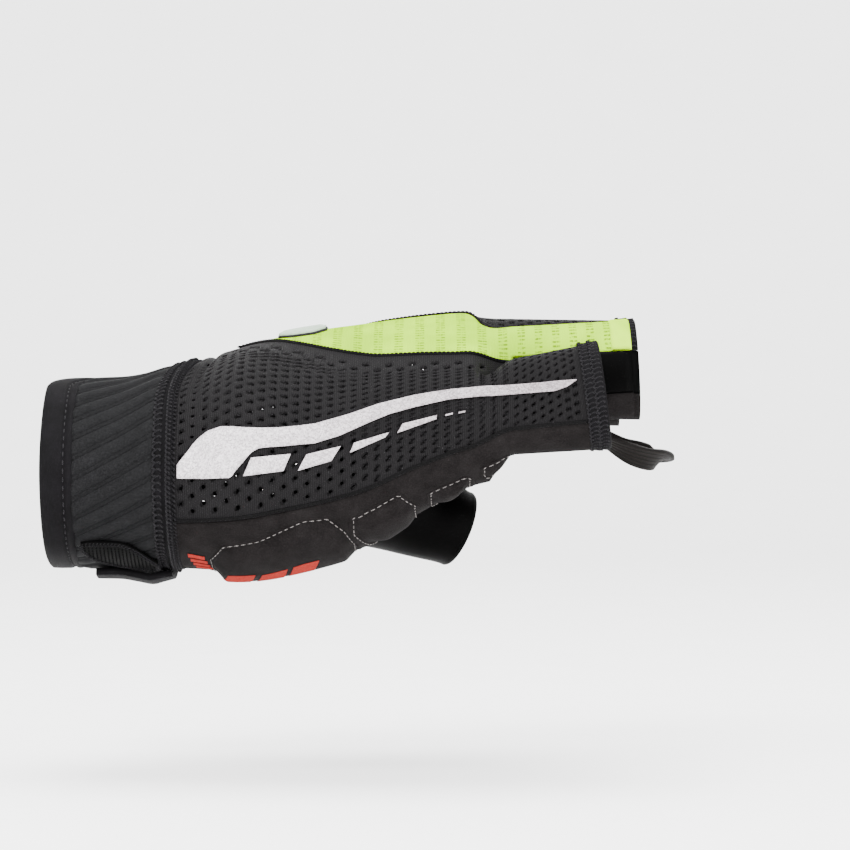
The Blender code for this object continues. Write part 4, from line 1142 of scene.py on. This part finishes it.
def makePads():
    for node, rows in padRows.items():
        face = PadFace(node)
        long = stationX(rows[-1].station) - stationX(rows[0].station)
        middle = rows[len(rows) // 2]
        across = [palmPanel.at(stationX(middle.station), -lerp(middle.near, middle.far, i / 8))
                  for i in range(9)]
        wide = sum((after - before).length for before, after in zip(across, across[1:]))
        stepsS = max(pads["fewestLong"], round(long / pads["cellLong"]))
        stepsT = max(pads["fewestWide"], round(wide / pads["cellWide"]))
        spots = gridOf(stepsS, stepsT, face.at)
        under = [[place + normal * (pads["base"] - pads["sink"]) for _, place, normal in reversed(line)]
                 for line in spots]
        over = [[top for top, _, _ in reversed(line)] for line in spots]
        words = node.split("_")
        name = words[0] + words[1].capitalize()
        keep(slabPiece(name, under, over, suede), "suede_black", node)
        insetS, insetT = pads["margin"] / long, pads["margin"] / wide
        border = []
        for j, i in rimOf(list(zip(*spots))):
            s, t = min(max(i / stepsS, insetS), 1.0 - insetS), min(max(j / stepsT, insetT), 1.0 - insetT)
            top, _, normal = face.at(s, t)
            border.append((top + normal * pads["stitchLift"], normal))
        threadPiece(name + "Stitches", [(True, border)], stitchRow, pads["stitches"], threadGrey,
                    "suede_black")


makePads()
print("palm ready")

# stalls, gussets and hems
gusset = {"wall": 0.00108, "radius": 0.0022, "rootGap": 0.0017, "hemGap": 0.0052, "seamGap": 0.6, "steps": 12,
          "bendSteps": 8}    # seamGap is in degrees


def gussetLeg(finger, angle, root):
    end = hemX(finger, angle) - (gusset["hemGap"] if finger == "little" else 0.0)
    return [stallPoint(finger, lerp(end, root, step / gusset["steps"]), angle)
            for step in range(gusset["steps"] + 1)]


def makeGussets():
    for before, after in zip(fingers, fingers[1:]):
        grid = []
        for down in range(gusset["steps"] + 1):
            share, gap = down / gusset["steps"], gusset["seamGap"]
            nearAngle = lerp(180.0 - hand["topEdge"] + gap, 180.0 + hand["palmSeam"] - gap, share)
            farAngle = lerp(hand["topEdge"] - gap, -hand["palmSeam"] + gap, share)
            apart = (stallPoint(after, crotchX, farAngle) - stallPoint(before, crotchX, nearAngle)).length
            radius = min(apart / 2, gusset["radius"])
            root = crotchX + gusset["rootGap"] + radius
            line = gussetLeg(before, nearAngle, root)
            first, last = line[-1], stallPoint(after, root, farAngle)
            for step in range(1, gusset["bendSteps"]):
                turn = pi * step / gusset["bendSteps"]
                place = (first + last) / 2 + (first - last) / 2 * cos(turn)
                place.x -= radius * sin(turn)
                line.append(place)
            grid.append(line + gussetLeg(after, farAngle, root)[::-1])
        clothPiece("fourchette" + before.capitalize() + after.capitalize(), grid, lycra, gusset["wall"],
                   "lycra_black", "fourchette_%s_%s" % (before, after))


makeGussets()

hem = {"width": 0.0050, "wall": 0.0016, "seamGap": 0.0003, "loopLift": 0.95, "steps": 72,
       "rows": (("Loops", 0.68), ("LoopsNear", 0.24)),    # each at a share of the width
       "loops": {"Spacing": 0.0012, "Long": 0.0006, "Wide": 0.0012, "Thread": 0.00022}}


def makeHems():
    # only the little finger's hem goes all round; the others end at their seams
    for finger in fingers:
        whole = finger == "little"
        edge = degrees(hem["seamGap"] / (stalls[finger].halfWidth * hand["handBreadth"]))
        steps = hem["steps"] if whole else hem["steps"] // 2
        lastAngle = 180.0 + hand["palmSeam"] if finger == "index" else 180.0 - hand["topEdge"]
        rings, lines = [], [[] for _ in hem["rows"]]
        half = hem["wall"] / 2
        outline = ((0.0, -0.4), (0.0, 0.3), (0.06, 0.8), (0.2, 1.0), (0.5, 0.85), (0.8, 1.0), (0.94, 0.9),
                   (1.0, 0.4), (1.0, -0.4), (0.9, -1.0), (0.1, -1.0))
        for step in range(steps if whole else steps + 1):
            if whole:
                angle = 360.0 * step / steps
            else:
                angle = lerp(hand["topEdge"] + edge, lastAngle - edge, step / steps)
            start = hemX(finger, angle) - hem["width"]
            up = stallNormal(finger, angle)
            rings.append([stallPoint(finger, start + across * hem["width"], angle) + up * height * half
                          for across, height in outline])
            for line, (_, across) in zip(lines, hem["rows"]):
                place = stallPoint(finger, start + across * hem["width"], angle)
                line.append((place + up * half * hem["loopLift"], up))
        name = "hem" + finger.capitalize()
        if finger == "ring":
            keep(bandPiece(name, rings, hemNeon, closed=whole), "hem_neon_yellow", "hem_" + finger)
            continue
        keep(bandPiece(name, rings, bindingCloth, closed=whole), "overlock_thread_black", "hem_" + finger)
        for line, (label, _) in zip(lines, hem["rows"]):
            threadPiece(name + label, [(whole, line)], loopRow, hem["loops"], threadBlack,
                        "overlock_thread_black")


makeHems()

# where the stall ends, seen from the middle of its hole, and the degrees that it dips and splays
thumb = {"middle": 14.0, "diameter": 0.0191, "reach": 0.0270, "drop": 0.0160, "inset": 0.0034, "dip": 21.7,
         "splay": 18.8, "rootPull": 0.013, "endPull": 0.016, "seat": 0.0004, "wall": 0.0012, "around": 72,
         "rows": 30, "hemRadius": 0.0005, "seamRadius": 0.0008, "crease": 0.0014, "creases": 11.0,
         "creaseLean": 1.5}


def makeThumb():
    start, end = stationX(1.0 + hand["holeStart"]), stationX(1.0 + hand["holeEnd"])
    around = thumb["around"]
    loop = []
    for step in range(around):
        turn = 2 * pi * step / around
        x = lerp(start, end, (1.0 - cos(turn)) / 2)
        reach = hand["holeRise"] if sin(turn) > 0 else hand["holeFall"]
        loop.append((turn, x, 180.0 + hand["palmSeam"] - reach * sin(turn)))
    dip, splay = radians(thumb["dip"]), radians(thumb["splay"])
    axis = Vector((cos(dip) * cos(splay), cos(dip) * sin(splay), -sin(dip)))
    side = Vector((-sin(splay), cos(splay), 0.0))
    crown = axis.cross(side)
    middle = handPoint((start + end) / 2, 180.0 + hand["palmSeam"] - thumb["middle"])
    hemMiddle = middle + Vector((thumb["reach"], -thumb["inset"], -thumb["drop"]))
    edge = [handPoint(x, angle) for _, x, angle in loop]
    lines = []
    for index, (turn, x, angle) in enumerate(loop):
        outward = handNormal(x, angle)
        run = (edge[(index + 1) % around] - edge[index - 1]).normalized()
        root = edge[index] + outward.cross(run) * thumb["seat"]
        tip = hemMiddle + (crown * -cos(turn) + side * sin(turn)) * thumb["diameter"] / 2
        lines.append((root, tip, outward, turn))
    grid = []
    for row in range(thumb["rows"] + 1):
        share = row / thumb["rows"]
        s2, s3 = share ** 2, share ** 3
        line = []
        for root, tip, outward, turn in lines:
            place = (root * (2 * s3 - 3 * s2 + 1) + outward * thumb["rootPull"] * (s3 - 2 * s2 + share)
                     + tip * (3 * s2 - 2 * s3) + axis * thumb["endPull"] * (s3 - s2))
            crease = sin(share * thumb["creases"] + thumb["creaseLean"] * sin(turn))
            crease *= thumb["crease"] * (1.0 - share) * share
            line.append(place + (place - hemMiddle).normalized() * crease)
        grid.append(line)
    clothPiece("thumbStall", grid, lycra, thumb["wall"], "lycra_black", "thumb_stall", closed=True)
    rim = [(place, (place - hemMiddle).normalized()) for place in grid[-1]]
    keep(tubePiece("thumbStallHem", rim, thumb["hemRadius"], lycra, closed=True), "lycra_black")
    seam = [(place, lines[index][2]) for index, place in enumerate(grid[0])]
    keep(tubePiece("thumbStallSeam", seam, thumb["seamRadius"], knitBlack, closed=True), "lycra_black")


makeThumb()
print("stalls ready")

# fastening, loop and tag
tape = {"tabWall": 0.0016, "tabBase": 0.0019, "tabSteps": (26, 24),
        "hookWall": 0.0012, "hookBase": 0.00175, "hookSteps": (20, 18), "borderLift": 0.0007,
        "hooks": {"Spacing": 0.00105, "Long": 0.00036, "Thread": 0.00012},
        "border": {"Spacing": 0.0009, "Long": 0.0005, "Wide": 0.0005, "Thread": 0.00012}}
# shares of the cuff's length, degrees below the little finger's side, and how far the tape stands off
TapeRow = namedtuple("TapeRow", "along near far lift")
hookRows = (TapeRow(0.29, 43, 46, 0.0), TapeRow(0.36, 42, 54, 0.0), TapeRow(0.47, 42, 60, 0.0),
            TapeRow(0.58, 42.5, 64, 0.0), TapeRow(0.70, 47, 66, 0.0), TapeRow(0.80, 55, 67, 0.0),
            TapeRow(0.86, 61, 67, 0.0))
tabRows = (TapeRow(0.37, 70, 116, 0.0006), TapeRow(0.54, 69, 116, 0.0007), TapeRow(0.69, 69, 115, 0.0013),
           TapeRow(0.79, 69, 114, 0.0017), TapeRow(0.87, 70, 113, 0.0009), TapeRow(0.95, 73, 110, 0.0))


def tapeGrid(rows, base, steps):
    # a tape's (point, up) pairs
    def spot(s, t):
        at = lerp(rows[0].along, rows[-1].along, s)
        x = at * hand["cuffLength"]
        near, far, lift = (follow(rows, key, at) for key in ("near", "far", "lift"))
        angle = -lerp(near, far, t)
        up = handNormal(x, angle)
        return handPoint(x, angle) + up * (base + lift), up
    return gridOf(*steps, spot)


def makeFastening():
    spots = tapeGrid(hookRows, tape["hookBase"] + tape["hookWall"] / 2, tape["hookSteps"])
    clothPiece("closureHookPatch", [[point for point, _ in line] for line in spots], hookTape,
               tape["hookWall"], "hook_tape_black", "closure_hook_patch", flip=True)
    lines = [(False, [(point + up * tape["hookWall"] / 2, up) for point, up in line[1:-1]])
             for line in spots[1:-1]]
    threadPiece("closureHooks", lines, hookRow, tape["hooks"], hookTape, "hook_tape_black")
    edge = [spots[r][c] for r, c in rimOf(spots)]
    border = [(point + up * tape["borderLift"], up) for point, up in edge]
    threadPiece("closureHookBorder", [(True, border)], loopRow, tape["border"], threadBlack,
                "hook_tape_black")
    spots = tapeGrid(tabRows, tape["tabBase"] + tape["tabWall"] / 2, tape["tabSteps"])
    clothPiece("closureTab", [[point for point, _ in line] for line in spots], bindingCloth, tape["tabWall"],
               "binding_black", "closure_tab", flip=True)


# along the stalls, across from the ring's to the middle's, height where it hangs free, and twist in degrees
LoopRow = namedtuple("LoopRow", "along across height tilt")
loopRows = (
    LoopRow(0.36, 0.00, None, 0), LoopRow(0.48, -0.02, None, 0), LoopRow(0.62, -0.04, 0.245, 12),
    LoopRow(0.78, -0.04, 0.165, 36), LoopRow(0.92, 0.00, 0.108, 62), LoopRow(1.03, 0.10, 0.082, 72),
    LoopRow(1.12, 0.28, 0.082, 48), LoopRow(1.16, 0.50, 0.090, 0), LoopRow(1.12, 0.72, 0.110, -40),
    LoopRow(1.02, 0.90, 0.125, -60), LoopRow(0.88, 1.00, 0.160, -44), LoopRow(0.74, 1.03, 0.230, -20),
    LoopRow(0.60, 1.02, None, 0), LoopRow(0.48, 1.00, None, 0),
)
pullLoop = {"width": 0.0054, "wall": 0.0010, "underStall": 0.0015, "fine": 8, "across": 8, "ribShift": 20.0}


def catmull(values, i, t):
    a, b = values[max(i - 1, 0)], values[i]
    c, d = values[min(i + 1, len(values) - 1)], values[min(i + 2, len(values) - 1)]
    return 0.5 * ((2 * b) + (c - a) * t + (2 * a - 5 * b + 4 * c - d) * t * t
                  + (3 * b - a - 3 * c + d) * t * t * t)


def makePullLoop():
    ring, middle = stalls["ring"], stalls["middle"]
    centres, tilts = [], []
    for row in loopRows:
        x = crotchX + row.along * hand["stallLength"]
        y = lerp(ring.across, middle.across, row.across) * hand["handBreadth"]
        if row.height is None:
            z = stallPoint("ring" if row.across < 0.5 else "middle", x, -90.0).z - pullLoop["underStall"]
        else:
            z = row.height * hand["knuckleHeight"]
        centres.append(Vector((x, y, z)))
        tilts.append(row.tilt)
    fine = [(catmull(centres, i, k / pullLoop["fine"]), catmull(tilts, i, k / pullLoop["fine"]))
            for i in range(len(centres) - 1) for k in range(pullLoop["fine"])] + [(centres[-1], tilts[-1])]
    grid, clothMm, gone = [], [], 0.0
    for index, (centre, tilt) in enumerate(fine):
        before, after = fine[max(index - 1, 0)][0], fine[min(index + 1, len(fine) - 1)][0]
        run = (after - before).normalized()
        level = run.cross(Vector((0.0, 0.0, 1.0))).normalized()
        upright = level.cross(run).normalized()
        across = level * cos(radians(tilt)) + upright * sin(radians(tilt))
        gone += (centre - fine[max(index - 1, 0)][0]).length * 1000
        line, cloth = [], []
        for j in range(pullLoop["across"] + 1):
            share = j / pullLoop["across"] - 0.5
            line.append(centre + across * pullLoop["width"] * share)
            cloth.append((gone, share * pullLoop["width"] * 1000 + pullLoop["ribShift"], 0.0))
        grid.append(line)
        clothMm.append(cloth)
    clothPiece("pullLoop", grid, wovenTape, pullLoop["wall"], "woven_tape_black", "pull_loop",
               clothMm=clothMm)


badgeRows = (PadRow(1.300, 80, 97), PadRow(1.345, 75, 99), PadRow(1.400, 74, 99), PadRow(1.440, 78, 96))
badge = {"steps": (24, 18), "base": 0.0006, "edgeHeight": 0.00134, "height": 0.0017, "round": 3.0,
         "narrower": 1.1, "rim": 0.00035}


def makeBadge():
    long, wide = badge["steps"]

    def spot(s, t):
        station = lerp(badgeRows[0].station, badgeRows[-1].station, s)
        x = stationX(station)
        angle = lerp(follow(badgeRows, "near", station), follow(badgeRows, "far", station), t)
        place, normal = handPoint(x, angle), handNormal(x, angle)
        fromEdge = min(s * long, (1.0 - s) * long, t * wide * badge["narrower"],
                       (1.0 - t) * wide * badge["narrower"])
        height = lerp(badge["edgeHeight"], badge["height"], smooth(fromEdge / badge["round"]))
        return place + normal * badge["base"], place + normal * height

    spots = gridOf(long, wide, spot)
    under, over = ([[pair[side] for pair in line] for line in spots] for side in (0, 1))
    keep(slabPiece("backBadge", under, over, rubber), "rubber_grey", "back_badge")
    rim = [(under[r][c], Vector((0.0, 0.0, 1.0))) for r, c in rimOf(under)]
    keep(tubePiece("backBadgeRim", rim, badge["rim"], threadDark, closed=True), "rubber_grey")


makeFastening()
makePullLoop()
makeBadge()
print("fastening, loop and tag ready")

# stripe, blocks and seams
stripe = {"lift": 0.00075, "wall": 0.00012, "start": 33.7, "end": 129.3, "steps": (134, 7),
          "dashSteps": (12, 5)}
# outlines in mm along the glove and above the wrist's middle: upper edge, then lower edge
stripeTop = ((33.6, 1.9), (35.2, 4.0), (37.1, 6.5), (39.1, 8.4), (41.5, 10.1), (44.5, 11.1), (47.4, 11.1),
             (50.1, 10.9), (54.2, 10.8), (58.6, 10.9), (62.9, 11.3), (67.0, 11.8), (71.1, 12.9), (75.4, 14.1),
             (82.5, 16.5), (90.9, 18.5), (99.2, 19.8), (109.9, 20.7), (120.6, 21.6), (125.3, 22.1),
             (129.4, 22.4))
stripeBottom = ((33.6, -1.1), (40.4, -1.1), (47.0, -0.8), (47.8, 0.5), (50.0, 2.9), (51.9, 5.1), (53.8, 6.1),
                (56.7, 6.4), (59.8, 6.6), (63.5, 7.0), (67.0, 7.3), (73.0, 9.1), (79.0, 11.7), (84.9, 14.1),
                (90.9, 15.7), (99.2, 17.5), (111.1, 18.6), (124.1, 19.7), (127.0, 20.7), (129.4, 22.3))
# each dash's corners, from the top left round to the bottom left
dashes = (((51.9, 3.9), (61.4, 4.9), (59.6, 0.9), (49.9, -0.4)),
          ((65.1, 4.8), (73.3, 6.8), (71.0, 3.3), (63.0, 1.0)),
          ((76.5, 7.6), (84.8, 10.1), (83.9, 8.9), (75.4, 5.2)),
          ((88.0, 12.1), (96.1, 14.1), (96.0, 13.2), (86.7, 9.9)),
          ((98.2, 14.3), (99.9, 14.7), (99.8, 14.3), (98.0, 13.9)),
          ((101.3, 14.9), (102.9, 15.2), (102.8, 14.8), (101.2, 14.5)))


def surfaceAt(x, z, part=0.6, tries=18):
    # where the outer panel passes through a height, both in mm, within the first part of its width
    low, high = 0.0, float(len(outerPanel.columns) - 1) * part
    for _ in range(tries):
        place = (low + high) / 2
        if outerPanel.point(place, x / 1000).z < z / 1000:
            low = place
        else:
            high = place
    return x / 1000, place


def outerLift(x, place, lift, stepX=0.001, stepPlace=0.08):
    here = outerPanel.point(place, x)
    along = outerPanel.point(place, x + stepX) - outerPanel.point(place, x - stepX)
    around = outerPanel.point(place + stepPlace, x) - outerPanel.point(max(place - stepPlace, 0.0), x)
    return here + along.cross(around).normalized() * lift


def edgeAt(line, x):
    places = [point[0] for point in line]
    i = min(max(bisect_right(places, x) - 1, 0), len(line) - 2)
    share = (x - places[i]) / (places[i + 1] - places[i])
    return lerp(line[i][1], line[i + 1][1], min(max(share, 0.0), 1.0))


def filmPiece(name, steps, spot):
    grid = gridOf(*steps, lambda s, t: outerLift(*surfaceAt(*spot(s, t)), stripe["lift"]))
    clothPiece(name, grid, film, stripe["wall"], "knit_mesh_black")


def makeStripe():
    def stripeSpot(s, t):
        x = lerp(stripe["start"], stripe["end"], s)
        return x, lerp(edgeAt(stripeBottom, x), edgeAt(stripeTop, x), t)

    filmPiece("reflectiveStripe", stripe["steps"], stripeSpot)
    for number, corners in enumerate(dashes):
        def dashSpot(s, t):
            topLeft, topRight, bottomRight, bottomLeft = (Vector(corner) for corner in corners)
            return bottomLeft.lerp(bottomRight, s).lerp(topLeft.lerp(topRight, s), t)

        filmPiece("reflectiveDash%d" % (number + 1), stripe["dashSteps"], dashSpot)


makeStripe()

# each seam lies a small part of a column inside its panel's edge
seamRoll = {"radius": 0.00050, "flat": 0.7, "palmLift": 0.00045, "lift": 0.0004, "pastCuff": 0.0004,
            "palmPlace": 0.06, "innerPlace": 0.07, "outerPlace": 7.93, "stitchLift": 0.0003,
            "stitches": {"Spacing": 0.00105, "Stitch": 0.0011, "Thread": 0.00055}}


def seamLine(panel, place, firstX, lastX, lift, steps=90, stepX=0.001, stepPlace=0.15):
    # (point, up) pairs along a panel, at a place counted in its columns
    line = []
    for step in range(steps + 1):
        x = lerp(firstX, lastX, step / steps)
        here = panel.point(place, x)
        along = panel.point(place, x + stepX) - panel.point(place, x - stepX)
        inward = place + stepPlace if place < 1.0 else place - stepPlace
        around = panel.point(inward, x) - here
        normal = along.cross(around).normalized()
        if place >= 1.0:
            normal = -normal
        line.append((here + normal * lift, normal))
    return line


def makeSeams():
    palmEdge = seamLine(outerPanel, seamRoll["palmPlace"], hand["cuffLength"] + seamRoll["pastCuff"],
                        hemX("little", 0.0) - hem["width"], seamRoll["palmLift"])
    centreEdge = seamLine(outerPanel, seamRoll["outerPlace"], centreTip, crotchX, seamRoll["lift"])
    innerEdge = seamLine(innerPanel, seamRoll["innerPlace"], centreTip, crotchX, seamRoll["lift"])
    for name, line in (("seamPalm", palmEdge), ("seamCentreOuter", centreEdge),
                       ("seamCentreInner", innerEdge)):
        roll = tubePiece(name, line, seamRoll["radius"], knitBlack, flat=seamRoll["flat"])
        keep(roll, "knit_mesh_black")
        raised = [(place + up * seamRoll["stitchLift"], up) for place, up in line]
        threadPiece(name + "Stitches", [(False, raised)], stitchRow, seamRoll["stitches"], knitBlack,
                    "knit_mesh_black")


makeSeams()

# plain slanted blocks of red print: three on the heel's pad, from s to s and from t to t, and four small
# ones beside it, whose near, wide and lean are in degrees
blocks = {"heel": ((0.12, 0.29, 0.36, 0.62), (0.33, 0.50, 0.38, 0.64), (0.54, 0.71, 0.38, 0.60)),
          "skew": 0.05, "heelLift": 0.0001, "wall": 0.00012, "small": 4, "start": 1.035, "end": 1.085,
          "shift": 0.006, "near": 54.0, "apart": 5.5, "wide": 3.6, "lean": 3.0, "smallLift": 0.0009}


def printPiece(name, rows, columns, spot):
    clothPiece(name, gridOf(rows, columns, spot), printRed, blocks["wall"], "suede_black", flip=True)


def makeBlocks():
    face = PadFace("pad_heel")
    for number, (s0, s1, t0, t1) in enumerate(blocks["heel"]):
        def heelSpot(s, t):
            top, _, normal = face.at(lerp(s0, s1, s) - blocks["skew"] * (t - 0.5), lerp(t0, t1, t))
            return top + normal * blocks["heelLift"]

        printPiece("heelBlock%d" % (number + 1), 24, 12, heelSpot)
    for number in range(blocks["small"]):
        def smallSpot(s, t):
            x = stationX(lerp(blocks["start"], blocks["end"], s) + number * blocks["shift"])
            angle = -(blocks["near"] + number * blocks["apart"] + blocks["wide"] * t + blocks["lean"] * s)
            return palmPanel.at(x, angle) + palmPanel.normalAt(x, angle) * blocks["smallLift"]

        printPiece("palmBlock%d" % (number + 1), 8, 4, smallSpot)


makeBlocks()
print("stripe, seams and blocks ready")

# floor, light and camera
studio = {"floor": -0.075, "wide": 6.0, "front": -2.4, "back": 2.2, "bend": 0.8, "height": 3.0, "sky": 3.0,
          "distance": 0.9, "target": (0.09325, 0.0, 0.01175), "frameWidth": 0.2125, "sensor": 36.0,
          # place, size and watts of each lamp
          "lamps": {"key": ((-0.35, -1.0, 0.9), 0.7, 30.0), "fill": ((0.9, -0.9, 0.35), 0.7, 12.0),
                    "top": ((0.1, 0.1, 1.3), 0.9, 26.0)}}


def makeStudio():
    half, bend, foot = studio["wide"] / 2, studio["bend"], studio["back"] - studio["bend"]
    profile = [(studio["front"], 0.0), (foot, 0.0)]
    profile += [(foot + bend * sin(radians(a)), bend - bend * cos(radians(a))) for a in range(6, 91, 6)]
    profile.append((studio["back"], studio["height"]))
    points = [(x, y, studio["floor"] + z) for y, z in profile for x in (-half, half)]
    faces = [(2 * i, 2 * i + 1, 2 * i + 3, 2 * i + 2) for i in range(len(profile) - 1)]
    # painted board: nearly white and matt, very softly uneven
    made, tree, shader = startMaterial("paleFloor", 0.9, specular=0.1)
    grain = noise(tree, objectMm(tree), 40.0)
    tree.links.new(mixed(tree, grain, colour("#FAFAFA"), colour("#FFFFFF")), shader.inputs["Base Color"])
    floor = newPiece("floor", points, faces, made)
    world = bpy.data.worlds.new("studio")
    world.use_nodes = True
    world.node_tree.nodes["Background"].inputs["Color"].default_value = (1.0, 1.0, 1.0, 1.0)
    world.node_tree.nodes["Background"].inputs["Strength"].default_value = studio["sky"]
    bpy.context.scene.world = world
    for name, (place, size, power) in studio["lamps"].items():
        light = bpy.data.lights.new(name, "AREA")
        light.size = size
        light.energy = power
        lamp = bpy.data.objects.new(name, light)
        lamp.location = place
        lamp.rotation_euler = (Vector(studio["target"]) - Vector(place)).to_track_quat("-Z", "Y").to_euler()
        glove.objects.link(lamp)
    camera = bpy.data.cameras.new("camera")
    camera.sensor_width = studio["sensor"]
    camera.lens = studio["sensor"] * studio["distance"] / studio["frameWidth"]
    eye = bpy.data.objects.new("camera", camera)
    eye.location = Vector(studio["target"]) - Vector((0.0, studio["distance"], 0.0))
    eye.rotation_euler = (pi / 2, 0.0, 0.0)
    glove.objects.link(eye)
    bpy.context.scene.camera = eye


makeStudio()

print("glove ready")
